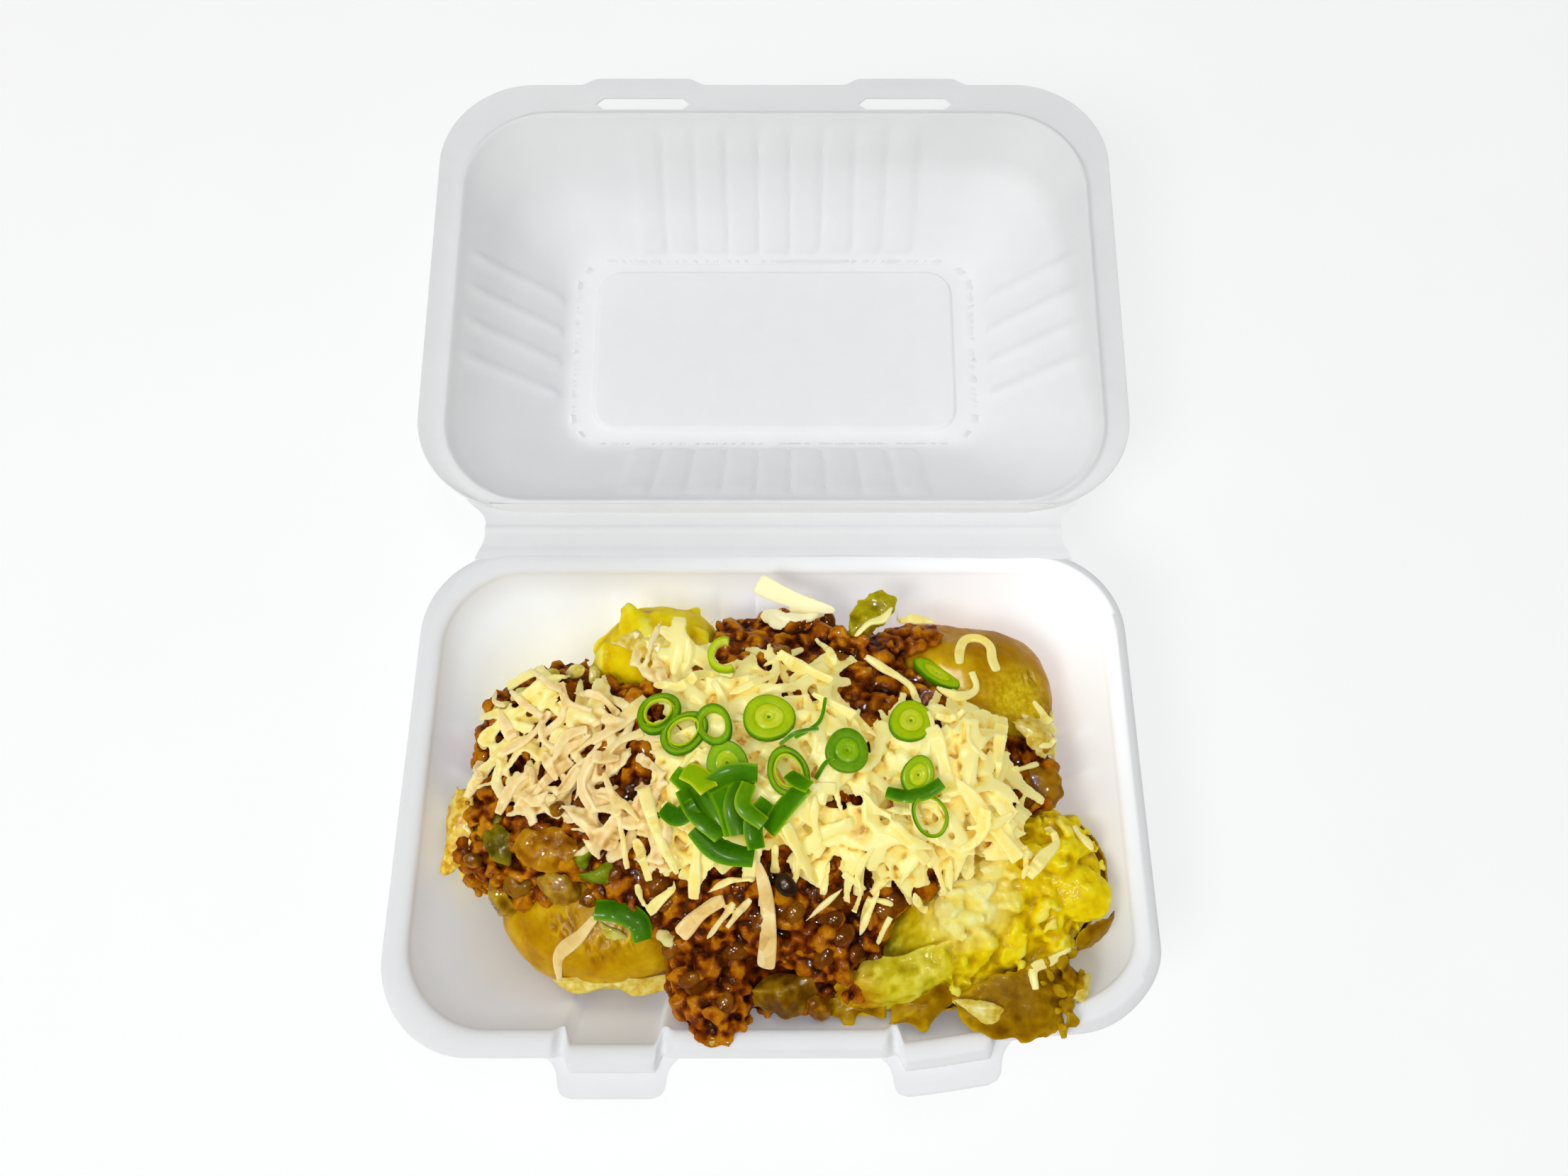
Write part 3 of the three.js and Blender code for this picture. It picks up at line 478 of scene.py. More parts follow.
def flapPlace(middle):
    s = trayShape

    def place(u, v):
        reach = v * (s["flapReach"] + 2.0) - 2.0
        side = s["flapSide"] + (s["flapRoot"] - s["flapSide"]) * np.exp(-np.clip(reach, 0, None) / 2.4)
        tipRound = np.clip((reach - s["flapReach"] + 4) / 4, 0, 1)
        side = side - 4 * (1 - np.sqrt(np.clip(1 - tipRound**2, 0, 1)))
        across = 2 * u - 1
        height = 43.0 - 0.25 * smoothStep(reach, 0, 9)
        spots = np.stack([middle + across * side, -s["depth"] / 2 - reach, height], 1)
        return dented(spots)

    return place


def pulpSheet(thing, thick):
    # closes the seam, faces the sheet up and gives it its wall below
    inEditMode(
        thing,
        (bpy.ops.mesh.remove_doubles, {"threshold": 0.00001}),
        (bpy.ops.mesh.normals_make_consistent, {"inside": False}),
    )
    if sum(face.normal.z * face.area for face in thing.data.polygons) < 0:
        inEditMode(thing, (bpy.ops.mesh.flip_normals, {}))
    return applied(thing, "SOLIDIFY", thickness=thick * mm, offset=-1, use_even_offset=False)


def roughened(thing, lumpSize, height, seed):
    # slow waves in the wall, as wet-pressed pulp dries uneven
    spots = readPoints(thing)
    coarse = [noise.noise(Vector(p) / (lumpSize * mm) + Vector((seed, 0, 0))) for p in spots]
    spots[:, 2] += np.array(coarse) * height * mm * smoothStep(spots[:, 2], 0.0015, 0.006)
    writePoints(thing, spots)
    return thing


tray = gridPiece("box_tray", trayShape["columns"], len(trayLevels()) - 1, trayPlace)
pulpSheet(tray, trayShape["thick"])
flaps = []
for middle in trayShape["tabMiddles"]:
    flap = gridPiece("flap", 40, 16, flapPlace(middle))
    flaps.append(pulpSheet(flap, trayShape["thick"]))
tray = joined("box_tray", flaps + [tray])
roughened(tray, 34, 0.35, 3.0)
smoothShaded(tray, 50)
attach(tray, "base")
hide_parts("box_base")
print("tray made:", len(tray.data.polygons), "faces")

lidShape = {
    "width": 251, "depth": 170, "corner": 34, "openingWidth": 229.5, "openingDepth": 152.5,
    "openingCorner": 30, "near": 8, "openingNear": 11, "hollow": 42,
    "floorWidth": 164, "floorDepth": 83.5, "floorCorner": 14, "face": -0.8,
    "panelWidth": 142, "panelDepth": 69, "panelCorner": 10, "panelRise": 2.3,
    "thick": 0.9, "columns": 640, "ribHeight": 1.9, "creaseY": 88.5, "creaseZ": 46.4, "lean": 6.6,
    "fluteCount": 9, "flutePitch": 12.4, "ridgeCount": 4, "ridgePitch": 13.6,
    "slotOffset": 50, "slotLength": 36, "slotWidth": 4.9, "slotPoint": 3, "slotFrom": 170, "slotBulge": 2.8,
}
openingMiddle = lidShape["openingNear"] + lidShape["openingDepth"] / 2
lidMiddle = lidShape["near"] + lidShape["depth"] / 2


def lidLevels():
    s = lidShape
    panel = np.array([s["panelWidth"] / 2, s["panelDepth"] / 2, s["panelCorner"]])
    floor = np.array([s["floorWidth"] / 2, s["floorDepth"] / 2, s["floorCorner"]])
    top = np.array([s["openingWidth"] / 2, s["openingDepth"] / 2, s["openingCorner"]])
    low, high = -s["hollow"], s["face"] - 0.7
    levels = []  # half width, half depth, corner, height, part of the wall, middle
    for part in (0, 0.2, 0.4, 0.6, 0.8, 0.93):
        levels.append((*(panel * part), low + s["panelRise"], 0, openingMiddle))
    for grow, height in ((-1.7, 2.3), (-1.2, 2.2), (-0.7, 1.7), (-0.2, 0.8), (0.2, 0.25), (0.8, 0.0)):
        levels.append((*(panel + grow), low + height, 0, openingMiddle))
    for part in (0.45, 0.75):
        levels.append((*(panel + (floor - panel) * part), low, 0, openingMiddle))
    for part, height in arcBetween((-0.09, low), (0.0, low), (0.11, low + 0.11 * (high - low)), 7):
        levels.append((*(floor + (top - floor) * part), height, max(part, 0), openingMiddle))
    for part in np.linspace(0.15, 0.97, 20):
        levels.append((*(floor + (top - floor) * part), low + part * (high - low), part, openingMiddle))
    ridge = ((-0.1, 0.5), (0.4, 1.2), (1.0, 1.9), (1.5, 2.0), (2.1, 1.6), (2.8, 0.85), (3.6, 0.6), (4.4, 0.6))
    for grow, height in ridge:
        levels.append((*(top + grow), high + height, 1, openingMiddle))
    rim = np.array([s["width"] / 2, s["depth"] / 2, s["corner"]])
    near = np.array([*(top + ridge[-1][0]), openingMiddle])
    far = np.array([*rim, lidMiddle])
    for part, height in ((0.3, 0.1), (0.6, 0.5), (0.84, 1.0), (0.95, 1.1), (1.0, 0.4)):
        mixed = near + (far - near) * part
        levels.append((*mixed[:3], s["face"] + height, 2 if part > 0.8 else 1, mixed[3]))
    return levels


def lidPlace(u, v):
    s = lidShape
    levels = lidLevels()
    row = np.rint(v * (len(levels) - 1)).astype(int)
    spots = np.zeros((len(u), 3))
    for i, (halfWidth, halfDepth, corner, height, wall, middle) in enumerate(levels):
        here = row == i
        if halfWidth < 0.01:
            spots[here] = (0, middle, height)
            continue
        flat, out = outlinePoints(halfWidth, halfDepth, corner, 1 - u[here])
        x, y = flat.T
        reach = np.zeros(len(x))
        flute, across = pillows(x, s["fluteCount"], s["flutePitch"])
        fade = smoothStep(wall, 0.0, 0.1) * (1 - smoothStep(wall + 0.07 * across**2, 0.88, 0.97))
        reach -= s["ribHeight"] * fade * flute * (np.abs(out[:, 1]) > 0.9)
        fade = smoothStep(wall, 0.04, 0.14) * (1 - smoothStep(wall, 0.84, 0.96))
        reach -= s["ribHeight"] * fade * ridges(y, s["ridgeCount"],
                                                s["ridgePitch"]) * (np.abs(out[:, 0]) > 0.9)
        if wall == 2:  # the flange widens round each slot
            for side in (-1, 1):
                wide = 1 - smoothStep(np.abs(x - side * s["slotOffset"]), 17, 24)
                outer = smoothStep(i, len(levels) - 4, len(levels) - 2)
                reach += s["slotBulge"] * wide * (out[:, 1] > 0.9) * outer
        spots[here] = np.stack([x + out[:, 0] * reach, middle + y + out[:, 1] * reach, 0 * x + height], 1)
    return spots


def leant(spots):
    # from the flat lid's own frame to the open lid's place, in metres
    turn = Matrix.Rotation(math.radians(lidShape["lean"]), 3, "X")
    moved = np.asarray(spots) @ np.array(turn).T
    return moved + np.array([0, lidShape["creaseY"], lidShape["creaseZ"]]) * mm


def slotCutter(side):
    s = lidShape
    bpy.ops.mesh.primitive_cylinder_add(vertices=6, radius=mm, depth=8 * mm, location=(0, 0, 0))
    cutter = bpy.context.object
    half, deep = s["slotLength"] / 2, s["slotWidth"] / 2
    corners = [(half, 0), (half - s["slotPoint"], deep), (s["slotPoint"] - half, deep),
               (-half, 0), (s["slotPoint"] - half, -deep), (half - s["slotPoint"], -deep)]
    spots = readPoints(cutter)
    for spot in spots:
        turn = round(math.degrees(math.atan2(spot[1], spot[0])) / 60 - 0.5) % 6
        x, y = corners[turn]
        spot[0], spot[1] = (side * s["slotOffset"] + x) * mm, (s["slotFrom"] + y) * mm
    writePoints(cutter, spots)
    return inEditMode(cutter, (bpy.ops.mesh.normals_make_consistent, {"inside": False}))


lid = gridPiece("box_lid_shell", lidShape["columns"], len(lidLevels()) - 1, lidPlace)
pulpSheet(lid, lidShape["thick"])
for side in (-1, 1):
    cutter = slotCutter(side)
    applied(lid, "BOOLEAN", operation="DIFFERENCE", object=cutter, solver="EXACT")
    bpy.data.objects.remove(cutter)
roughened(lid, 40, 0.35, 9.0)
writePoints(lid, leant(readPoints(lid)))
smoothShaded(lid, 50)
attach(lid, "lid")
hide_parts("box_lid")
print("lid made:", len(lid.data.polygons), "faces")

bandShape = {
    "half": 99.0, "trayFlare": 2.6, "lidFlare": 7.5, "fromY": 77.4, "toY": 99.5, "thick": 0.85,
    "crease": 88.5, "trayHeight": 45.7, "trayStep": 0.35, "lidHeight": 45.45, "creaseRise": 0.65,
    "creaseWidth": 1.1,
}


def bandPlace(u, v):
    s = bandShape
    y = s["fromY"] + (s["toY"] - s["fromY"]) * v
    far = np.abs(y - s["crease"])
    flare = np.where(y < s["crease"], s["trayFlare"], s["lidFlare"])
    half = s["half"] + flare * smoothStep(far, 1.0, 12.0) ** 1.6
    lean = math.tan(math.radians(lidShape["lean"]))
    traySide = s["trayHeight"] - s["trayStep"] * smoothStep(y, 80.0, 82.5)
    lidSide = s["lidHeight"] + (y - s["crease"]) * lean
    crease = s["creaseRise"] * np.exp(-(((y - s["crease"]) / s["creaseWidth"]) ** 2))
    return np.stack([(2 * u - 1) * half, y, np.where(y < s["crease"], traySide, lidSide) + crease], 1)


band = gridPiece("hinge_band", 160, 46, bandPlace)
pulpSheet(band, bandShape["thick"])
smoothShaded(band, 50)
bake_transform(band)

# painted light: the pulp glows a little all over, and its inner side far more
pulpPaint = Paint("pulp_white", Roughness=0.7, Specular_IOR_Level=0.1, Emission_Strength=0.12)
fibre = pulpPaint.grain(0.9, 4, 0.7)
felt = pulpPaint.grain(14, 3)
tint = pulpPaint.ramp(felt * 0.6 + fibre * 0.4, (0.3, (0.75, 0.75, 0.75)), (0.7, (0.78, 0.78, 0.78)))
east, north, height = (pulpPaint.add("SeparateXYZ", {}, {0: pulpPaint.spot}, k) for k in (0, 1, 2))
side, back = pulpPaint.level(east, -0.06, 0.09), pulpPaint.level(north, -0.06, 0.06)
low, high = pulpPaint.level(height, 0.047, 0.034), pulpPaint.level(height, 0.052, 0.046)
deep = (low + (high - low) * side) * pulpPaint.own("inner")  # painted light: the inner side glows, most low down and towards the right and back, standing in for light through the thin wall
glow = pulpPaint.blend(back, pulpPaint.blend(side, (1.35, 1.55, 1.85), (1.2, 1.25, 1.3)),
                       pulpPaint.blend(side, (2.4, 2.7, 3.1), (3.6, 3.65, 3.7)))
pulpPaint.set(
    Base_Color=tint,
    Emission_Color=pulpPaint.blend(deep, (0.6, 0.6, 0.6), glow),
    Roughness=pulpPaint.level(fibre, 0.3, 0.7, 0.6, 0.8),
    Normal=pulpPaint.raised(fibre, 0.10, 0.4),
)
for thing, middle, amount in ((tray, (0, 0, 60), 1.0), (lid, (0, 155, 110), 0.2), (band, (0, 88, 200), 0.3)):
    dressed(thing, pulpPaint)  # and the side that faces this middle is marked as the inner one, with the strength of its painted glow
    way = np.array(middle) * mm - readPoints(thing)
    keptOn(thing, "inner", amount * ((way * readNormals(thing)).sum(1) > 0.0))
print("box finished")


# laying food on food

foodMap = {"step": 0.7, "low": (-112.0, -84.0), "high": (112.0, 72.0)}


class Pile:
    # the height of the food over each place in mm, which each laid piece raises
    def __init__(self, things):
        tree = treeOf(things)
        s = foodMap
        self.count = [int((s["high"][k] - s["low"][k]) / s["step"]) + 1 for k in (0, 1)]
        self.heights = np.zeros(self.count)
        for i in range(self.count[0]):
            for j in range(self.count[1]):
                x, y = s["low"][0] + i * s["step"], s["low"][1] + j * s["step"]
                self.heights[i, j] = topOf(tree, x * mm, y * mm)[0] / mm

    def place(self, x, y):
        i = np.rint((np.asarray(x) - foodMap["low"][0]) / foodMap["step"]).astype(int)
        j = np.rint((np.asarray(y) - foodMap["low"][1]) / foodMap["step"]).astype(int)
        return np.clip(i, 0, self.count[0] - 1), np.clip(j, 0, self.count[1] - 1)

    def at(self, x, y):
        return self.heights[self.place(x, y)]

    def raiseTo(self, spots, reach):
        cells = int(math.ceil(reach / foodMap["step"]))
        for x, y, z in spots:
            i, j = self.place(x, y)
            part = self.heights[max(i - cells, 0):i + cells + 1, max(j - cells, 0):j + cells + 1]
            np.maximum(part, z, out=part)


def curveThrough(points, count):
    # even steps along a smooth line through the points
    points = np.array(points, float)
    steps = np.concatenate([[0], np.cumsum(np.linalg.norm(np.diff(points, axis=0), axis=1))])
    slopes = np.gradient(points, steps, axis=0)
    along = np.linspace(0, steps[-1], count)
    k = np.clip(np.searchsorted(steps, along, "right") - 1, 0, len(points) - 2)
    gap = (steps[k + 1] - steps[k])[:, None]
    t = (along - steps[k])[:, None] / gap
    return ((2 * t**3 - 3 * t**2 + 1) * points[k] + (t**3 - 2 * t**2 + t) * gap * slopes[k]
            + (3 * t**2 - 2 * t**3) * points[k + 1] + (t**3 - t**2) * gap * slopes[k + 1])


hexSection = np.array([(0.5, 0), (0.36, 0.5), (-0.36, 0.5), (-0.5, 0), (-0.36, -0.5), (0.36, -0.5)])
flatSection = np.array([(0.5, 0), (0.46, 0.35), (0.3, 0.5), (0, 0.5), (-0.3, 0.5), (-0.46, 0.35),
                        (-0.5, 0), (-0.46, -0.35), (-0.3, -0.5), (0, -0.5), (0.3, -0.5), (0.46, -0.35)])


def curledSection(bend):
    # a thin leaf wall that curls down at both edges
    across = np.linspace(0.5, -0.5, 7)
    drop = -bend * across**2 * 4
    top = [(x, 0.5, d) for x, d in zip(across, drop)]
    low = [(x, -0.5, d) for x, d in zip(across[::-1], drop[::-1])]
    return np.array(top + low)


def stripAlong(spots, width, thick, roll, section):
    # a strip of one cross-section along a line, with its width and roll at each station
    ahead = np.gradient(spots, axis=0)
    ahead /= np.linalg.norm(ahead, axis=1)[:, None]
    side = np.cross(ahead, (0, 0, 1.0))
    side /= np.maximum(np.linalg.norm(side, axis=1), 1e-6)[:, None]
    up = np.cross(side, ahead)
    width, thick, roll = (np.broadcast_to(v, len(spots))[:, None] for v in (width, thick, roll))
    side, up = side * np.cos(roll) + up * np.sin(roll), up * np.cos(roll) - side * np.sin(roll)
    bend = section[:, 2] if section.shape[1] > 2 else np.zeros(len(section))
    corners = (spots[:, None] + side[:, None] * (width * section[:, 0])[:, :, None]
               + up[:, None] * (thick * section[:, 1] + width * bend)[:, :, None])
    return corners.reshape(-1, 3)


def stripFaces(stations, sides):
    faces = [tuple(range(sides))[::-1], tuple(range((stations - 1) * sides, stations * sides))]
    for i in range(stations - 1):
        for j in range(sides):
            k = (j + 1) % sides
            faces.append((i * sides + j, i * sides + k, (i + 1) * sides + k, (i + 1) * sides + j))
    return faces


def blockMesh(name, parts, values=None):
    # one mesh in metres from parts in mm, each with its corners and faces
    corners, faces = [], []
    for spots, own in parts:
        start = len(corners)
        corners += [tuple(p) for p in np.asarray(spots) * mm]
        faces += [tuple(start + i for i in face) for face in own]
    mesh = bpy.data.meshes.new(name)
    mesh.from_pydata(corners, [], faces)
    made = linked(name, mesh)
    if values is not None:
        keptOn(made, "tone", np.concatenate(values))
    return inEditMode(made, (bpy.ops.mesh.normals_make_consistent, {"inside": False}))


def fused(name, things, voxel, smooth=3, factor=0.5):
    # melts overlapping parts into one skin
    whole = joined(name, things)
    applied(whole, "REMESH", mode="VOXEL", voxel_size=voxel * mm)
    if smooth:
        applied(whole, "SMOOTH", factor=factor, iterations=smooth)
    return whole


def hollowsMarked(thing, rounds=14, depth=0.5):
    # keeps, from 0 in a hollow to 1 on a crest, how each point stands to the smoothed shape; most food paints
    # read it to paint shade into the hollows and lighten the crests
    spots, out = readPoints(thing), readNormals(thing)
    pairs = np.empty(len(thing.data.edges) * 2, np.int32)
    thing.data.edges.foreach_get("vertices", pairs)
    a, b = pairs.reshape(-1, 2).T
    total = len(spots)
    near = np.maximum(np.bincount(a, minlength=total) + np.bincount(b, minlength=total), 1)
    soft = spots.copy()
    for turn in range(rounds):
        sums = [np.bincount(a, soft[b, k], total) + np.bincount(b, soft[a, k], total) for k in range(3)]
        soft = np.column_stack(sums) / near[:, None]
    keptOn(thing, "rise", np.clip(0.5 + ((spots - soft) * out).sum(1) / (2 * depth * mm), 0, 1))
    return thing


def finished(thing, paint, slot, *nodes):
    smoothShaded(thing)
    hollowsMarked(thing)
    dressed(thing, paint)
    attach(thing, "base")
    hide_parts(*nodes)
    return thing


def primitiveArrays(add, **settings):
    # the places and faces of a primitive of radius 1, to be copied many times
    add(radius=1, **settings)
    made = bpy.context.object
    shape = readPoints(made)
    faces = [tuple(face.vertices) for face in made.data.polygons]
    bpy.data.objects.remove(made)
    return shape, faces


ballShape, ballFaces = primitiveArrays(bpy.ops.mesh.primitive_ico_sphere_add, subdivisions=1)
lumpShape, lumpFaces = primitiveArrays(bpy.ops.mesh.primitive_ico_sphere_add, subdivisions=2)


def patchPart(outline, top, fall=2.2, thick=1.0, ragged=0.5, wrinkle=0.4, seed=0.0, rings=12, spokes=72):
    # a thin torn sheet inside an outline in mm, with the height of its edge and of its middle
    loop = curveThrough(list(outline) + [outline[0]], spokes + 1)[:-1]
    middle = np.append(loop[:, :2].mean(0), top)
    share = (np.arange(1, rings + 1) / rings)[:, None, None]
    spots = middle + (loop - middle)[None] * np.concatenate([share, share, share**fall], 2)
    spots = np.concatenate([middle[None], spots.reshape(-1, 3)])
    part = np.concatenate([[0], np.repeat(share.ravel(), spokes)])
    away = spots - middle
    away /= np.maximum(np.linalg.norm(away, axis=1), 1e-6)[:, None]
    spots += away * (wavy(spots * mm, 1000 / 2.6, 2, seed) * ragged * part**3)[:, None]
    spots[:, 2] += wavy(spots * mm, 1000 / 5, 2, seed + 3) * wrinkle
    low = spots - (0, 0, thick)
    low[1 + (rings - 1) * spokes:] += away[1 + (rings - 1) * spokes:] * -0.2 * thick
    half = len(spots)
    faces = []
    for i in range(spokes):
        k = (i + 1) % spokes
        faces += [(0, 1 + i, 1 + k), (half, half + 1 + k, half + 1 + i)]
        for r in range(rings - 1):
            a, b = 1 + r * spokes, 1 + (r + 1) * spokes
            faces += [(a + i, b + i, b + k, a + k), (half + a + k, half + b + k, half + b + i, half + a + i)]
        last = 1 + (rings - 1) * spokes
        faces.append((last + k, last + i, half + last + i, half + last + k))
    return np.concatenate([spots, low]), faces


def turned(draw, normal=(0, 0, 1), tilt=0.3):
    # a chance turn about a direction, with some tilt from it
    aim = (Vector(normal) + tilt * Vector([draw.uniform(-1, 1) for _ in range(3)])).normalized()
    spin = Matrix.Rotation(draw.uniform(0, fullTurn), 3, "Z")
    return np.array(Vector((0, 0, 1)).rotation_difference(aim).to_matrix() @ spin)


def roughLump(draw, at, size, normal=(0, 0, 1), tilt=0.5, rough=0.2, shape=ballShape):
    bumpy = shape * (1 + rough * np.array([draw.uniform(-1, 1) for _ in shape]))[:, None]
    return (bumpy * np.array(size)) @ turned(draw, normal, tilt).T + np.array(at)


# potatoes

potatoLook = {
    "potato_front_left": {"voxel": 0.62, "lumps": 12.0, "height": 0.5, "fine": 0.03, "seed": 1.0,
                          "skin": True,
                          "wrinkles": [(-62, -43, 8), (-51, -49, 8), (-44, -46, 6)]},
    "potato_front_right": {"voxel": 0.6, "lumps": 6.0, "height": 0.8, "fine": 0.14, "seed": 2.0,
                           "skin": False, "mash": 95, "mashSize": (3.0, 9.0), "shrink": 1.6, "flakes": 80,
                           "fewLumpsWestOf": 46, "noFlakesIn": (50, -45),
                           "lumpsAt": [(94, -34, 48, 10, 9, 5)],
                           "ridge": [(15, -61, 42), (20, -67, 39.5), (30, -68, 40.5), (42, -65.5, 44),
                                     (54, -60, 47), (64, -54, 50), (67, -48, 52), (58, -47, 53),
                                     (44, -50, 52), (30, -53, 49), (20, -56, 46)]},
    "potato_front_scrap": {"voxel": 0.6, "lumps": 11.0, "height": 0.6, "fine": 0.03, "seed": 3.0,
                           "skin": True, "smooth": 5,
                           "flap": [(53.6, -64, 46.5), (55, -68.6, 47), (59.5, -73, 47.3), (69.6, -76, 47.6),
                                    (80.8, -74.6, 47.6), (86.6, -71, 47), (87.2, -65, 46), (92.9, -63.4, 45),
                                    (94.3, -57.3, 43), (89.6, -55.7, 44), (90, -49.5, 45), (83.5, -51.9, 49),
                                    (71.8, -55.7, 51), (65, -58, 51)]},
    "potato_back_right": {"voxel": 0.7, "lumps": 12.0, "height": 0.5, "fine": 0.03, "seed": 4.0, "skin": True,
                          "wrinkles": [(84, 34, 7), (88, 28, 6)],
                          "bulges": [(84, 47, 36, 24, 3.0, 5.0, 1.5)]},
    "potato_back_left": {"voxel": 0.8, "lumps": 12.0, "height": 0.8, "fine": 0.06, "seed": 5.0, "skin": False,
                         "mash": 14, "mashSize": (4.0, 9.0), "shrink": 1.0, "flakes": 6},
    "potato_left": {"voxel": 0.8, "lumps": 7.0, "height": 1.0, "fine": 0.3, "seed": 6.0, "skin": False,
                    "mash": 50, "mashSize": (1.5, 3.5), "shrink": 0.8},
    "potato_left_back": {"voxel": 0.8, "lumps": 7.0, "height": 1.0, "fine": 0.3, "seed": 7.0, "skin": False,
                         "mash": 50, "mashSize": (1.5, 3.5), "shrink": 0.8},
}


def mashParts(thing, look):
    # lumps of broken flesh and small torn flakes over the upper side of a potato that lies open
    draw = random.Random(int(look["seed"]))
    spots, out = readPoints(thing), readNormals(thing)
    pushedOut(thing, np.full(len(spots), -look["shrink"]))
    shown = np.flatnonzero((out[:, 2] > 0.25) & (spots[:, 2] > 34 * mm) & (spots[:, 0] < 101 * mm))
    small, large = look["mashSize"]
    parts = []
    for turn in range(look["mash"]):
        k = shown[draw.randrange(len(shown))]
        if spots[k, 0] < look.get("fewLumpsWestOf", -999) * mm and draw.random() < 0.8:
            continue
        size = small + (large - small) * draw.random() ** 1.8
        shape = (size, size * draw.uniform(0.4, 0.8), size * draw.uniform(0.25, 0.5))
        place = spots[k] / mm - out[k] * (0.9 + 0.1 * size)
        parts.append((roughLump(draw, place, shape, out[k], 0.55, 0.2, lumpShape), lumpFaces))
    east, north = look.get("noFlakesIn", (-999, -999))
    for turn in range(look.get("flakes", 0)):
        k = shown[draw.randrange(len(shown))]
        if spots[k, 0] < east * mm and spots[k, 1] < north * mm:
            continue
        size = draw.uniform(1.0, 2.6)
        place = spots[k] / mm + out[k] * draw.uniform(0.7, 1.8)
        shape = (size, size * draw.uniform(0.4, 0.8), size * 0.4)
        parts.append((roughLump(draw, place, shape, out[k], 0.7, 0.3, lumpShape), lumpFaces))
    for x, y, z, *size in look.get("lumpsAt", ()):
        parts.append((roughLump(draw, (x, y, z), size, tilt=0.1, rough=0.06, shape=lumpShape), lumpFaces))
    return parts


def potatoPiece(node, look):
    made = copyOfNode(node, node)
    applied(made, "REMESH", mode="VOXEL", voxel_size=1.4 * mm)
    applied(made, "SMOOTH", factor=0.6, iterations=8)
    for x, y, z, reach, *push in look.get("bulges", ()):
        spots = readPoints(made)
        near = np.clip(1 - (np.linalg.norm(spots / mm - (x, y, z), axis=1) / reach) ** 2, 0, 1)
        writePoints(made, spots + near[:, None] ** 1.5 * np.array(push) * mm)
    parts = mashParts(made, look) if look.get("mash") else []
    if look.get("ridge"):
        parts.append(patchPart(look["ridge"], 52.5, 2.6, thick=7.0, ragged=1.2, wrinkle=1.0, seed=6.0))
    if look.get("flap"):
        parts.append(patchPart(look["flap"], 52.5, thick=2.5, ragged=1.8, wrinkle=0.5, seed=3.0))
    if parts:
        made = joined(node, [blockMesh("mash", parts), made])
    applied(made, "REMESH", mode="VOXEL", voxel_size=look["voxel"] * mm)
    applied(made, "SMOOTH", factor=0.5, iterations=look.get("smooth", 3))
    spots = readPoints(made)
    coarse = wavy(spots, 1000 / look["lumps"], 3, look["seed"])
    fine = wavy(spots, 1000 / 2.0, 2, look["seed"] + 5)
    show = smoothStep(spots[:, 2], spots[:, 2].min() + 2 * mm, spots[:, 2].min() + 12 * mm)
    push = ((coarse - 0.2) * look["height"] + fine * look["fine"]) * show
    for x, y, reach in look.get("wrinkles", ()):
        near = 1 - smoothStep(np.hypot(spots[:, 0] / mm - x, spots[:, 1] / mm - y), 0.3 * reach, reach)
        places = [Vector((p[0] * 550 + p[1] * 250, p[1] * 200 - p[0] * 80, x)) for p in spots]
        crumple = np.array([1 - 2 * abs(noise.noise(place)) for place in places])
        push += near * (crumple - 0.7) * 0.9
    pushedOut(made, push)
    made.name = made.data.name = node.replace("potato", "baked_potato")
    return made


skinPaint = Paint(
    "potato_skin", Roughness=0.4, Specular_IOR_Level=0.05, Specular_Tint=(1.0, 0.75, 0.2),
    Coat_IOR=1.33, Coat_Roughness=0.24,
    Subsurface_Weight=0.1, Subsurface_Radius=(0.004, 0.002, 0.0004), Subsurface_Scale=1.0,
)
patch = skinPaint.grain(16, 4)
tiny = skinPaint.grain(2.2, 4, 0.6)
fleck = skinPaint.cells(8.5)
# painted shade: through the rise mark, hollows in the skin darken and crests lighten
skinTone = skinPaint.ramp(
    patch * 0.6 + tiny * 0.15 + skinPaint.own("rise") * 0.25,
    (0.30, (0.25, 0.088, 0.0005)), (0.42, (0.45, 0.20, 0.0006)), (0.54, (0.60, 0.33, 0.0008)),
    (0.68, (0.80, 0.53, 0.006)),
)
spotted = skinPaint.level(fleck + 0.4 * tiny, 0.22, 0.27)
wrinkle = skinPaint.grain(5, 2)
pale = skinPaint.farFrom((56, 22, 52), 18, 44) * skinPaint.farFrom((-52, -40, 40), 40, 60)
browned = skinPaint.blend(pale, skinTone, skinPaint.blend(0.75, skinTone, (0.24, 0.080, 0.001)))
rind = skinPaint.farFrom((64, 28, 50), 16, 30) * (1 - skinPaint.farFrom((80, 30, 40), 40, 60))
rindTone = skinPaint.ramp(patch, (0.4, (0.32, 0.115, 0.0008)), (0.6, (0.52, 0.24, 0.003)))
browned = skinPaint.blend(rind, browned, rindTone)
brightTone = skinPaint.ramp(tiny, (0.4, (0.62, 0.40, 0.003)), (0.6, (0.85, 0.62, 0.02)))
browned = skinPaint.blend(skinPaint.farFrom((79, 24, 47), 6, 17), brightTone, browned)
moist = (1 - skinPaint.farFrom((-56, -45, 38), 6, 16)) * 0.25
skinPaint.set(
    Base_Color=skinPaint.blend(spotted, (0.07, 0.025, 0.003), browned),
    Roughness=skinPaint.level(tiny, 0.3, 0.7, 0.25, 0.45),
    Coat_Weight=skinPaint.level(patch, 0.45, 0.6, 0.0, 0.2) + moist,
    Normal=skinPaint.raised(tiny * 0.3 + wrinkle, 1.4, 0.5),
)

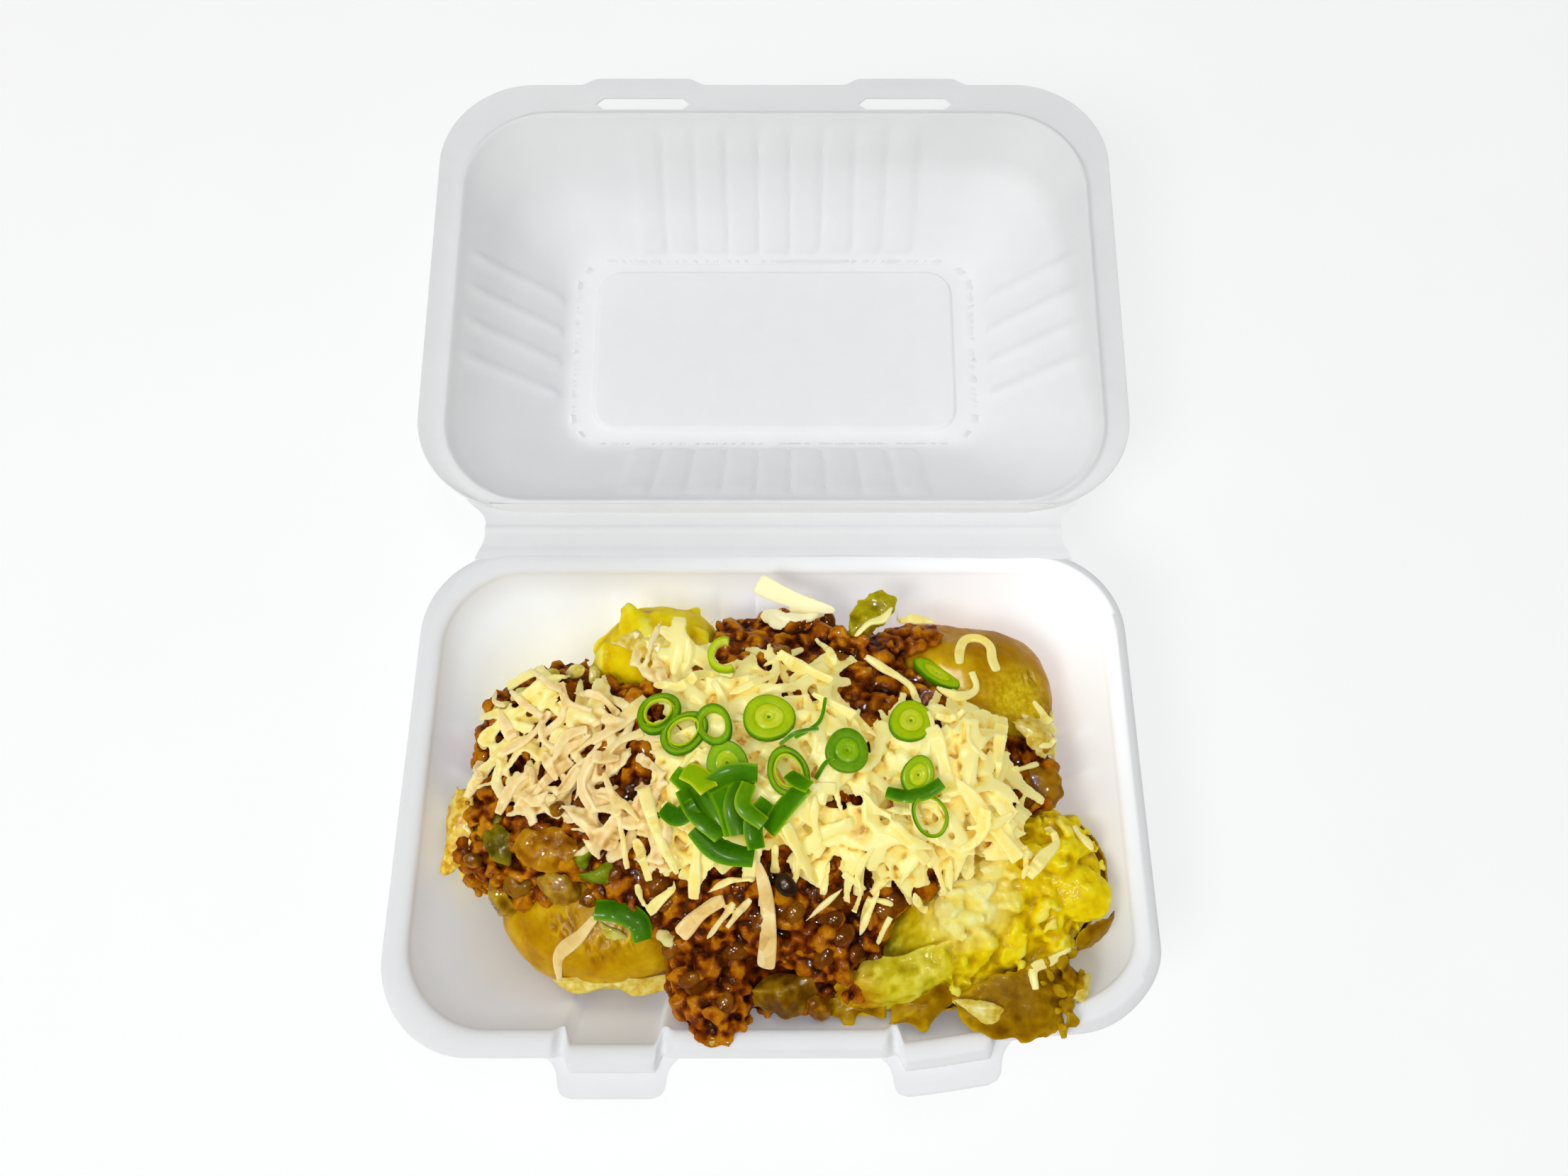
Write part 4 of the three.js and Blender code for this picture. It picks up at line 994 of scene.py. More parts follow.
fleshPaint = Paint(
    "potato_flesh", Roughness=0.5, Specular_IOR_Level=0.05, Specular_Tint=(1.0, 0.85, 0.2),
    Coat_IOR=1.33, Coat_Roughness=0.18,
    Subsurface_Weight=0.25, Subsurface_Radius=(0.005, 0.004, 0.0004), Subsurface_Scale=1.0,
)
patch = fleshPaint.grain(13, 2)
tiny = fleshPaint.grain(2.0, 4, 0.65)
# painted shade: the rise mark darkens hollows in the flesh and lightens its crests, in every flesh tone below
mixed = patch * 0.48 + tiny * 0.14 + fleshPaint.own("rise") * 0.38
fleshTone = fleshPaint.ramp(
    mixed, (0.30, (0.52, 0.32, 0.0006)), (0.42, (0.80, 0.54, 0.0008)), (0.53, (0.93, 0.69, 0.001)),
    (0.64, (1.0, 0.80, 0.008)), (0.78, (1.0, 0.88, 0.16)),
)
glassy = fleshPaint.ramp(mixed, (0.35, (0.46, 0.34, 0.001)), (0.5, (0.64, 0.53, 0.008)),
                         (0.7, (0.84, 0.74, 0.08)))
creamy = fleshPaint.ramp(mixed, (0.3, (0.95, 0.72, 0.07)), (0.45, (1.0, 0.86, 0.20)),
                         (0.65, (1.0, 0.93, 0.38)))
stained = fleshPaint.ramp(mixed, (0.3, (0.30, 0.10, 0.0005)), (0.5, (0.50, 0.22, 0.001)),
                          (0.7, (0.66, 0.40, 0.006)))
fleshPlaces = (((36, -60, 50), 12, 26, glassy), ((57, -34, 58), 9, 19, creamy),
               ((20, -64, 44), 8, 16, stained))
for place, near, far, tone in fleshPlaces:
    fleshTone = fleshPaint.blend(fleshPaint.farFrom(place, near, far), tone, fleshTone)
fleshPaint.set(
    Base_Color=fleshTone,
    Roughness=fleshPaint.level(tiny, 0.3, 0.7, 0.35, 0.6),
    Coat_Weight=fleshPaint.level(patch, 0.42, 0.6, 0.02, 0.12),
    Normal=fleshPaint.raised(tiny, 0.8, 0.6),
)

olivePaint = Paint(
    "potato_skin_olive", Roughness=0.45, Specular_IOR_Level=0.03, Specular_Tint=(1.0, 0.8, 0.2),
    Coat_IOR=1.33, Coat_Roughness=0.15,
)
patch, tiny = olivePaint.grain(9, 3), olivePaint.grain(1.8, 4)
# painted shade: the rise mark darkens hollows and lightens crests in the olive skin's colour
olivePaint.set(
    Base_Color=olivePaint.ramp(
        patch * 0.5 + tiny * 0.15 + olivePaint.own("rise") * 0.35, (0.28, (0.06, 0.018, 0.0003)),
        (0.42, (0.20, 0.082, 0.0004)), (0.55, (0.34, 0.17, 0.0006)), (0.70, (0.56, 0.34, 0.003)),
    ),
    Roughness=olivePaint.level(tiny, 0.3, 0.7, 0.25, 0.45),
    Coat_Weight=olivePaint.level(patch, 0.45, 0.6, 0.0, 0.08),
    Normal=olivePaint.raised(tiny * 0.3 + olivePaint.grain(4, 2), 1.2, 0.5),
)
potatoes = {}
for node, look in potatoLook.items():
    paint, slot = (skinPaint, "potato_skin") if look["skin"] else (fleshPaint, "potato_flesh")
    paint = olivePaint if node == "potato_front_scrap" else paint
    potatoes[node] = finished(potatoPiece(node, look), paint, slot, node)


def skinShell(name, node, steepest, thick, seed):
    # the skin left round the side of an opened potato, with a torn upper edge
    made = copyOfNode(name, node)
    applied(made, "REMESH", mode="VOXEL", voxel_size=1.2 * mm)
    applied(made, "SMOOTH", factor=0.6, iterations=8)
    pushedOut(made, -0.5 + 0.3 * wavy(readPoints(made), 1000 / 6, 2, seed))
    drop = []
    for face in made.data.polygons:
        limit = steepest + 0.3 * noise.noise(face.center / (7 * mm) + Vector((seed, 0, 0)))
        drop.append(face.normal.z > limit or face.center.z < 6 * mm)
    faceMode, pointMode = ((bpy.ops.mesh.select_mode, {"type": kind}) for kind in ("FACE", "VERT"))
    inEditMode(made, faceMode, (bpy.ops.mesh.select_all, {"action": "DESELECT"}))
    made.data.polygons.foreach_set("select", drop)
    bpy.ops.object.mode_set(mode="EDIT")
    bpy.ops.mesh.delete(type="FACE")
    inEditMode(made, pointMode)
    return applied(made, "SOLIDIFY", thickness=thick * mm, offset=1, use_even_offset=False)


sideSkin = skinShell("skin_front_right", "potato_front_right", 0.05, 0.6, 1.0)
finished(sideSkin, olivePaint, "potato_skin", "potato_front_right")
flapOutlines = {  # top height, thickness, outline with the height of the edge
    "flap_large": (46, 0.8, [(35, -71, 42), (41, -70.8, 42.5), (44.7, -73.4, 43), (50, -67.8, 44),
                             (54, -64.4, 46), (52, -60, 49), (44, -63, 48), (36, -66, 44)]),
    "flap_small": (43, 0.8, [(12, -66.4, 40), (17.8, -68.7, 41), (24.1, -71.2, 42), (25.8, -68.1, 42),
                             (34, -69.5, 42), (33, -65, 45), (22, -63, 44)]),
    "flap_right": (48, 0.9, [(92, -50.5, 44), (92, -46, 47.5), (97, -42.5, 48.5), (102, -41, 47.5),
                             (104.5, -38.5, 45), (103, -43.5, 43), (98, -48.5, 42)]),
}
for name, (top, thick, outline) in flapOutlines.items():
    part = patchPart(outline, top, 1.6, thick, ragged=0.9, wrinkle=0.6, seed=len(name))
    made = blockMesh("skin_" + name, [part])
    finished(made, olivePaint, "potato_skin", "potato_front_right")

palePaint = Paint(
    "potato_pale", Roughness=0.45, Specular_IOR_Level=0.1, Specular_Tint=(1.0, 0.9, 0.4),
    Coat_Weight=0.15, Coat_Roughness=0.2,
    Subsurface_Weight=0.4, Subsurface_Radius=(0.004, 0.003, 0.0008), Subsurface_Scale=1.0,
)
tiny = palePaint.grain(3, 3)
warmTone = palePaint.ramp(tiny, (0.35, (0.62, 0.28, 0.008)), (0.5, (0.88, 0.54, 0.04)),
                          (0.65, (0.97, 0.78, 0.20)))
mildTone = palePaint.ramp(tiny, (0.3, (0.66, 0.38, 0.02)), (0.5, (0.86, 0.62, 0.09)),
                          (0.7, (0.97, 0.82, 0.32)))
palePaint.set(
    Base_Color=palePaint.blend(palePaint.farFrom((-102, -14, 43), 14, 24), warmTone, mildTone),
    Normal=palePaint.raised(tiny, 0.5, 0.4),
)
tornEdge = [(-68, -58, 34), (-61, -57.5, 36), (-50, -57, 37), (-40, -58, 36), (-31, -57, 35),
            (-30.5, -59.5, 32), (-37.4, -62.2, 31), (-43.2, -62.8, 31), (-46, -61, 32), (-51, -60.8, 32),
            (-61, -62, 31)]
made = blockMesh("torn_layer_front_left", [patchPart(tornEdge, 35, 1.6, 1.2, 0.7, 0.3, 8.0)])
finished(made, palePaint, "potato_flesh", "potato_front_left")
flakeShapes = [  # middle's height, fall to the edge, thickness, raggedness, wrinkles, seed, edge
    (53, 1.6, 0.9, 0.7, 0.4, 2.0, [(53, -64.5, 49.5), (61, -64.8, 52), (67.5, -67.4, 52), (63, -71.5, 50.5),
                                   (57.8, -68, 50)]),
    (48, 1.6, 0.9, 0.6, 0.3, 5.0, [(89, -60.5, 46.5), (94.9, -56.8, 45), (93, -64.3, 45.5),
                                   (88, -64.7, 47.5)]),
    (58.5, 1.6, 1.0, 0.8, 0.5, 9.0, [(-53, 44.5, 53), (-45, 41, 56), (-37.5, 37, 57), (-30, 41, 57),
                                     (-25, 44.5, 54), (-31, 47, 56), (-44, 48, 56)]),
    (51.0, 1.5, 1.2, 1.6, 0.8, 6.0, [(76, 19, 51), (83, 21, 48), (90, 17, 45), (91, 12, 44), (87, 8, 46),
                                     (81, 12, 50)]),
    (48, 1.6, 2.5, 1.2, 0.6, 4.0, [(-100.5, 0, 42), (-103.5, -8, 40), (-103, -18, 40), (-103.3, -27, 40),
                                   (-98, -26.5, 43), (-93, -22, 46), (-93, -12, 47), (-95, -3, 46)]),
]
flakes = [patchPart(outline, *numbers) for *numbers, outline in flakeShapes]
finished(blockMesh("potato_flakes", flakes), palePaint, "potato_flesh", "potato_front_scrap",
         "potato_back_left")

crumbLook = {"seed": 31, "voxel": 0.5, "leastHeight": 47.5, "at": [  # place and half length
    (88, -70, 2.6), (86.5, -66, 3.0), (84, -62, 2.4), (88, -58, 3.2), (91, -60, 2.4), (86, -54, 2.8),
    (82, -58, 1.8), (89.5, -51.5, 2.4), (85, -72.5, 2.0), (79.5, -60, 1.4), (83.5, -67.5, 1.5),
    (92.5, -57.5, 2.0), (81, -54.5, 2.2), (76, -56, 1.6), (85, -74, 1.6)]}
scrapTree = treeOf([potatoes["potato_front_scrap"], potatoes["potato_front_right"]])
draw = random.Random(crumbLook["seed"])
parts = []
for x, y, size in crumbLook["at"]:
    height, _ = topOf(scrapTree, x * mm, y * mm, crumbLook["leastHeight"] * mm)
    shape = (size, size * 0.75, size * 0.5)
    lump = roughLump(draw, (x, y, height / mm + 0.25 * size), shape, tilt=0.4, rough=0.25, shape=lumpShape)
    parts.append((lump, lumpFaces))
crumbs = fused("potato_crumbs", [blockMesh("scrap_crumbs", parts)], crumbLook["voxel"])
finished(crumbs, olivePaint, "potato_flesh", "potato_front_scrap")
print("potatoes made")


# chilli: sauce with minced meat, and beans

sauce = {
    "voxel": 0.62, "cut": 27, "sink": 1.3, "crumbs": 4200, "smallest": 0.8, "largest": 4.4, "seed": 7,
    "smooth": 3, "fine": 0.26, "waves": 1.8,
    "dips": [(31, -62, 10, 5.5), (20, -66, 8, 5.0)],  # places where the surface lies lower
    "covers": [(-85, -17, 13, 19, 420, 2.5), (-16, -69, 9.5, 7.5, 200, 3.0), (4, -66, 9, 4, 70, 1.0),
               (44, 48, 11, 6, 170, 2.5), (8, 57, 13, 4, 90, 2.0)],
}
draw = random.Random(sauce["seed"])
low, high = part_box("chilli")
bare = copyOfNode("chilli_core", "chilli")
applied(bare, "REMESH", mode="VOXEL", voxel_size=1.6 * mm)
applied(bare, "SMOOTH", factor=0.7, iterations=10)
spots = readPoints(bare)
swell = wavy(spots, 1000 / 7, 2, 2.0) * sauce["waves"] - sauce["sink"]
for x, y, reach, drop in sauce["dips"]:
    swell -= drop * (1 - smoothStep(np.hypot(spots[:, 0] / mm - x, spots[:, 1] / mm - y), 0.4 * reach, reach))
pushedOut(bare, swell)
coreTree = treeOf([bare])


def mincePart(draw, at, size, normal, least):
    # one grain of minced meat
    half = (size, size * draw.uniform(least, 1.0), size * draw.uniform(least - 0.1, 0.9))
    return roughLump(draw, at, half, normal, tilt=0.8, rough=0.28), ballFaces


parts = []
while len(parts) < sauce["crumbs"]:
    x, y = draw.uniform(low.x, high.x), draw.uniform(low.y, high.y)
    spot, normal, _, _ = coreTree.ray_cast(Vector((x, y, skyHigh)), down)
    if spot is None:
        continue
    size = sauce["smallest"] + (sauce["largest"] - sauce["smallest"]) * draw.random() ** 4
    at = np.array((x, y, spot.z)) / mm + np.array(normal) * size * draw.uniform(-0.45, 0.25)
    parts.append(mincePart(draw, at, size, normal, 0.6))
coverTree = treeOf([bare, tray, *potatoes.values()])
for east, north, wide, deep, count, grow in sauce["covers"]:
    for turn in range(count):
        angle, far = draw.uniform(0, fullTurn), math.sqrt(draw.random())
        x, y = (east + wide * far * math.cos(angle)) * mm, (north + deep * far * math.sin(angle)) * mm
        height, normal = topOf(coverTree, x, y)
        size = draw.uniform(0.9, 2.5)
        lift = size * 0.6 + grow * (1 - far**2) * draw.random()
        at = np.array((x, y, height)) / mm + np.array(normal) * lift
        parts.append(mincePart(draw, at, size, normal, 0.7))
body = linked("chilli_body", bare.data.copy())
body.data.name = "chilli_body"
chilli = joined("chilli_mince", [blockMesh("crumbs", parts), bare])
applied(chilli, "REMESH", mode="VOXEL", voxel_size=sauce["voxel"] * mm)
inEditMode(chilli, (bpy.ops.mesh.bisect, {"plane_co": (0, 0, sauce["cut"] * mm), "plane_no": (0, 0, 1),
                                          "use_fill": True,
                                          "clear_inner": True}))
applied(chilli, "SMOOTH", factor=0.5, iterations=sauce["smooth"])
applied(chilli, "DECIMATE", ratio=0.6)
pushedOut(chilli, wavy(readPoints(chilli), 1000 / 1.6, 2, 4.0) * sauce["fine"])

chilliPaint = Paint(
    "chilli_sauce", Roughness=0.4, Specular_IOR_Level=0.04, Specular_Tint=(1.0, 0.5, 0.12),
    Coat_IOR=1.33, Coat_Roughness=0.05,
    Subsurface_Weight=0.15, Subsurface_Radius=(0.003, 0.001, 0.0003), Subsurface_Scale=1.0,
)
patch = chilliPaint.grain(11, 3)
lumpy = chilliPaint.cells(3.0, out="Color")
tiny = chilliPaint.grain(1.7, 4, 0.7)
# painted shade: through the rise mark, hollows darken and crests lighten
crest = chilliPaint.own("rise")
mixed = patch * 0.40 + lumpy * 0.10 + crest * 0.30 + tiny * 0.20
dark = chilliPaint.ramp(mixed, (0.30, (0.008, 0.001, 0.0)), (0.40, (0.060, 0.008, 0.0002)),
                        (0.49, (0.155, 0.025, 0.0003)), (0.58, (0.32, 0.070, 0.0005)),
                        (0.70, (0.58, 0.22, 0.003)))
amber = chilliPaint.ramp(mixed, (0.32, (0.012, 0.0012, 0.0)), (0.42, (0.085, 0.011, 0.0002)),
                         (0.51, (0.21, 0.040, 0.0003)), (0.60, (0.38, 0.100, 0.0005)),
                         (0.72, (0.66, 0.27, 0.004)))
wetSpots = chilliPaint.level(chilliPaint.grain(3.0, 2), 0.47, 0.52, 0.0, 0.45)
chilliPaint.set(
    Base_Color=chilliPaint.blend(chilliPaint.farFrom((8, -48, 45), 28, 75), dark, amber),
    Roughness=chilliPaint.level(tiny, 0.3, 0.7, 0.28, 0.5),
    Coat_Weight=wetSpots,
    Normal=chilliPaint.raised(chilliPaint.grain(0.7, 2, 0.7), 0.38, 0.8),
)
finished(chilli, chilliPaint, "chilli", "chilli")
finished(body, chilliPaint, "chilli", "chilli")
print("chilli made:", len(chilli.data.polygons), "faces")

beanLook = {"size": (4.5, 3.2, 2.8), "seed": 12, "count": 34, "dark": (4.5, -33), "darkLift": 2.2, "at": [
    (-10, -52), (22, -47), (8, -40), (15, -52), (26, -52), (33, -40), (-24, -60), (-2, -44),
    (19, -36), (-14, -66), (-30, -50), (17, -42)]}


def beanArrays():
    shape, faces = primitiveArrays(bpy.ops.mesh.primitive_uv_sphere_add, segments=16, ring_count=10)
    shape[:, 1] += 0.28 * (1 - shape[:, 0] ** 2) - 0.12
    shape[:, 0] *= 1 + 0.08 * shape[:, 1]
    return shape, faces


beanShape, beanFaces = beanArrays()
draw = random.Random(beanLook["seed"])
topTree = treeOf([chilli])
parts, tries = [], 0
while len(parts) < beanLook["count"] and tries < 4000:
    tries += 1
    if tries <= len(beanLook["at"]):
        x, y = np.array(beanLook["at"][tries - 1]) * mm
    else:
        x, y = draw.uniform(low.x, high.x), draw.uniform(low.y, high.y)
        if y > -0.03 and draw.random() < 0.6:
            continue
    height, normal = topOf(topTree, x, y)
    if height < 0.03 or normal.z < 0.6:
        continue
    size = np.array(beanLook["size"]) * draw.uniform(0.8, 1.1)
    at = np.array((x, y, height)) / mm - np.array(normal) * 0.5 * size[2]
    parts.append(((beanShape * size) @ turned(draw, normal, 0.3).T + at, beanFaces))
beans = blockMesh("chilli_beans", parts)
x, y = beanLook["dark"]
at = (x, y, topOf(topTree, x * mm, y * mm)[0] / mm + beanLook["darkLift"])
spots = (beanShape * np.array(beanLook["size"]) * 0.9) @ turned(draw, (0, 0, 1), 0.2).T + at
darkBean = blockMesh("black_bean", [(spots, beanFaces)])
beanPaint = Paint(
    "bean_skin", Roughness=0.3, Specular_IOR_Level=0.04, Specular_Tint=(1.0, 0.5, 0.12),
    Coat_IOR=1.33, Coat_Roughness=0.14,
    Subsurface_Weight=0.2, Subsurface_Radius=(0.004, 0.0015, 0.0005), Subsurface_Scale=1.0,
)
patch = beanPaint.grain(9, 2)
tiny = beanPaint.grain(1.2, 3)
beanPaint.set(
    Base_Color=beanPaint.ramp(patch * 0.8 + tiny * 0.2, (0.3, (0.07, 0.014, 0.0004)),
                              (0.5, (0.19, 0.052, 0.001)),
                              (0.7, (0.38, 0.15, 0.006))),
    Roughness=beanPaint.level(tiny, 0.3, 0.7, 0.15, 0.4),
    Coat_Weight=beanPaint.level(tiny, 0.35, 0.55, 0.2, 0.6),
    Normal=beanPaint.raised(tiny, 0.2, 0.4),
)
finished(beans, beanPaint, "chilli", "chilli")
blackPaint = Paint(
    "black_bean_skin", Roughness=0.35, Specular_IOR_Level=0.1, Specular_Tint=(1.0, 0.6, 0.3),
    Coat_Weight=0.2, Coat_Roughness=0.05,
)
blackTone = blackPaint.ramp(blackPaint.grain(3, 3), (0.3, (0.010, 0.005, 0.002)),
                            (0.7, (0.035, 0.016, 0.007)))
blackPaint.set(Base_Color=blackTone)
finished(darkBean, blackPaint, "chilli", "chilli")
print("beans made")


# pieces of pepper, tomato and onion

chunkLook = {  # slot, thickness, rise of the middle, colours dark to light, then outline in mm
    "pepper_back": ("pepper", 2.0, 3.0, ((0.10, 0.075, 0.0004), (0.27, 0.21, 0.0008), (0.50, 0.42, 0.006)),
                    [(24, 47), (25.5, 54.5), (30, 60), (36, 62), (40.5, 59.5), (39.5, 54.5), (34, 50),
                     (27.1, 45.5)]),
    "pepper_front": ("pepper", 5.0, 4.2, ((0.05, 0.018, 0.0003), (0.17, 0.068, 0.0006), (0.34, 0.18, 0.003)),
                     [(-6.3, -62), (-4.8, -65.8), (-0.5, -68), (4.5, -69.6), (9.6, -67.9), (13.4, -63.5),
                      (12, -58.5), (6, -56.5), (-1, -57.5)]),
    "tomato_left": ("tomato", 3.4, 2.2, ((0.14, 0.032, 0.0003), (0.34, 0.115, 0.0006), (0.55, 0.26, 0.004)),
                    [(-79.2, -20.8), (-76.9, -16.5), (-70.8, -15.2), (-63.7, -15.6), (-59.6, -18.7),
                     (-58.0, -22.6), (-60.4, -26), (-65.5, -28.6), (-71.6, -27.7),
                     (-76.6, -25.2)]),
    "pepper_left": ("pepper", 2.4, 1.2, ((0.035, 0.024, 0.0003), (0.11, 0.082, 0.0006), (0.25, 0.20, 0.004)),
                    [(-89.5, -15.6), (-85, -13.5), (-80.4, -15.5), (-77.9, -19.5), (-79.5, -22), (-80.5, -26),
                     (-85, -24.3), (-88.4, -20.8)]),
    "onion_left": ("onion_pale", 2.0, 1.0, ((0.14, 0.045, 0.0005), (0.30, 0.13, 0.003), (0.50, 0.30, 0.02)),
                   [(-71.9, -29.4), (-68.1, -27.7), (-62.8, -28.6), (-58.4, -31.1), (-57.6, -35),
                    (-63.5, -37.5), (-69.5, -34.5)]),
    "more_pepper": ("pepper", 2.0, 1.8, ((0.03, 0.05, 0.0003), (0.10, 0.15, 0.0008), (0.26, 0.34, 0.006)),
                    [(-59.8, -22.6), (-56.4, -20.4), (-52.8, -21.3), (-54.4, -24.3), (-56.9, -26.9),
                     (-59.1, -26)]),
    "more_pepper_low": ("pepper", 2.0, 1.8, ((0.025, 0.04, 0.0003), (0.08, 0.12, 0.0006),
                                             (0.22, 0.28, 0.004)),
                        [(-58.9, -29), (-54.2, -27.7), (-49.2, -25.3), (-47.2, -28.7), (-48.3, -32),
                         (-54, -31.6)]),
    "more_tomato": ("tomato", 1.8, 0.8, ((0.05, 0.014, 0.0002), (0.14, 0.045, 0.0005), (0.30, 0.13, 0.003)),
                    [(-82, -28.6), (-76.8, -27.7), (-73.6, -30.3), (-74.2, -34.1), (-78.9, -35),
                     (-82.3, -32.5)]),
    "chilli_skin_bit": ("potato_skin", 1.6, 1.2, ((0.10, 0.035, 0.0003), (0.30, 0.14, 0.0008),
                                                  (0.55, 0.36, 0.01)),
                        [(-89.4, -32.4), (-85.5, -28.2), (-81.5, -33), (-79.8, -38.5), (-82.5, -40.5),
                         (-87.4, -36.2)]),
    "onion_clear": ("onion_pale", 0.9, 0.5, ((0.40, 0.28, 0.006), (0.58, 0.46, 0.03), (0.76, 0.66, 0.14)),
                    [(-52.5, -41.2), (-47.9, -43.5), (-43.5, -46.6), (-47.5, -47.6), (-51.4, -45.3)]),
    "onion_front": ("onion_pale", 1.2, 0.9, ((0.45, 0.28, 0.02), (0.68, 0.50, 0.10), (0.85, 0.72, 0.28)),
                    [(-34, -44.5), (-28.8, -46.2), (-29.1, -50.3), (-32.5, -49), (-34.3, -47)]),
    "tomato_right": ("tomato", 2.0, 0.8, ((0.07, 0.020, 0.0002), (0.20, 0.070, 0.0006), (0.40, 0.19, 0.004)),
                     [(78, -4), (80, 4), (85, 7.5), (90, 5), (92, -2), (88, -8), (82, -9)]),
}


def wetPaint(name, coat, coatRough):
    return Paint(
        name + "_wet", Roughness=0.25, Specular_IOR_Level=0.04, Specular_Tint=(1.0, 0.8, 0.2),
        Coat_IOR=1.33, Coat_Weight=coat, Coat_Roughness=coatRough,
        Subsurface_Weight=0.3, Subsurface_Radius=(0.004, 0.003, 0.001), Subsurface_Scale=1.0,
    )


belowTree = treeOf([tray, chilli, beans, *potatoes.values()])
chunks = []
for index, (node, (slot, thick, rise, stops, outline)) in enumerate(chunkLook.items()):
    reach = [topOf(belowTree, x * mm, y * mm)[0] / mm for x, y in outline]
    floorUnder = sorted(reach)[len(reach) // 3]
    edge = [(x, y, max(z, floorUnder)) for (x, y), z in zip(outline, reach)]
    x, y = np.mean(outline, axis=0)
    top = 0.5 * (topOf(belowTree, x * mm, y * mm)[0] / mm + max(z for _, _, z in edge)) + rise
    if node == "pepper_back":  # a curled leaf standing at the back edge
        edge = [(x, y, 52.5 + 0.25 * (y - 50)) for x, y in outline]
        top = 55.5
    part = patchPart(edge, top, 2.6, thick, ragged=1.2, wrinkle=0.9, seed=2.0 + index, rings=10, spokes=48)
    made = blockMesh(node + "_piece", [part])
    applied(made, "REMESH", mode="VOXEL", voxel_size=0.5 * mm)
    applied(made, "SMOOTH", factor=0.5, iterations=5)
    pushedOut(made, 0.35 * wavy(readPoints(made), 1000 / 4, 2, 20.0 + index))
    paint = wetPaint(node, 0.35, 0.045)
    tiny = paint.grain(1.0, 3)
    # painted shade: the rise mark darkens each piece's hollows and lightens its crests
    mixed = paint.grain(9, 2) * 0.5 + tiny * 0.1 + paint.own("rise") * 0.4
    paint.set(
        Base_Color=paint.ramp(mixed, *zip((0.32, 0.5, 0.66), stops)),
        Roughness=paint.level(tiny, 0.3, 0.7, 0.15, 0.35),
        Normal=paint.raised(tiny, 0.4, 0.6),
    )
    chunks.append(finished(made, paint, slot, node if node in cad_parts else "chilli"))
print("pieces of vegetable made")


# grated cheese

shreds = {
    "seed": 5, "voxel": 0.55,
    "centre": 235, "centreWidth": (3.0, 5.4), "centreLength": (12, 26), "left": 96, "leftWidth": (2.2, 4.2),
    "leftLength": (9, 21), "loose": 42, "thick": (0.8, 1.2), "bed": 105, "ragged": 0.32,
    "spread": [  # where cheese lies: place and half sizes
        (-4, 6, 38, 24), (51, 0, 27, 22), (60, -14, 17, 12), (0, -20, 38, 8), (-70, 12, 29, 23),
        (-46, -18, 15, 15), (-37, 38, 14, 7), (2, 30, 22, 5), (4, 57, 16, 4), (91, 22, 7, 9),
        (30, -24, 28, 7),
    ],
    "gaps": [(1, -34, 5, 5), (22, -28, 6, 5), (-19, -32, 6, 5), (9, -21, 4, 4), (45, -19, 5, 4),
             (5, 22, 6, 4), (27, 27, 6, 4), (-30, -8, 4, 5), (-47, 32, 11, 7), (-62, 17, 9, 5),
             (33, 15, 6, 5), (27, -8, 8, 6), (83, -10, 9, 10), (90, 2, 12, 9),
             (-70, 5, 6, 4)],
}
pile = Pile([chilli, beans, *potatoes.values(), *chunks])
hexFaces = stripFaces(8, 6)
flatFaces = stripFaces(16, 12)


def laidLine(path, width, thick, count, stiff=0.4, lift=0.0, lowest=0.0, press=0.5):
    # a line through places in mm, resting on the pile and raising it
    flat = curveThrough(path, count)
    edge = np.gradient(flat, axis=0)
    edge = np.stack([-edge[:, 1], edge[:, 0]], 1) / np.linalg.norm(edge, axis=1)[:, None] * width * 0.3
    under = np.maximum(np.max([pile.at(*(flat + edge * k).T) for k in (-1, 0, 1)], axis=0), lowest)
    steps = np.linspace(0, 1, count)
    line = np.polyval(np.polyfit(steps, under, 1), steps)
    rigid = line + 0.4 * max(float(np.max(under - line)), 0)
    soft = np.convolve(np.pad(under, 1, "edge"), (0.25, 0.5, 0.25), "valid")
    height = np.maximum(stiff * rigid + (1 - stiff) * soft, under - press) + thick * 0.3 + lift
    spots = np.column_stack([flat, height])
    pile.raiseTo(np.column_stack([flat, height + thick * 0.1]), width * 0.35)
    return spots


def shredPart(draw, path, width, thick, count=8, section=hexSection, lowest=0.0):
    spots = laidLine(path, width, thick, count, lowest=lowest)
    steps = np.linspace(0, 1, count)
    blunt = 0.58 + 0.34 * np.sin(13 * np.array((path[0][0], path[-1][1])))  # how square each end is
    ends = 1 - (1 - blunt[0]) * (1 - steps) ** 5 - (1 - blunt[1]) * steps**5
    wide = 1.12 * width * ends * (1 + 0.22 * np.sin(steps * draw.uniform(3, 9) + draw.uniform(0, 6)))
    roll = draw.uniform(-0.25, 0.25) + draw.uniform(-0.3, 0.3) * steps
    return stripAlong(spots, wide, thick * ends, roll, section)


def chancePath(draw, x, y, length, bend, heading=None):
    heading = draw.uniform(0, math.pi) if heading is None else heading
    ahead = np.array((math.cos(heading), math.sin(heading)))
    side = np.array((-ahead[1], ahead[0]))
    middle = np.array((x, y)) + side * length * bend
    return [np.array((x, y)) - ahead * length / 2, middle, np.array((x, y)) + ahead * length / 2]


def cheeseAmount(x, y):
    # from 0 outside the topping to 1 at its thick places
    far = [((x - a) / wide) ** 2 + ((y - b) / deep) ** 2 for a, b, wide, deep in shreds["spread"]]
    amount = max(0.0, 1 - min(far))
    for a, b, wide, deep in shreds["gaps"]:
        amount *= min(1.0, ((x - a) / wide) ** 2 + ((y - b) / deep) ** 2)
    return amount


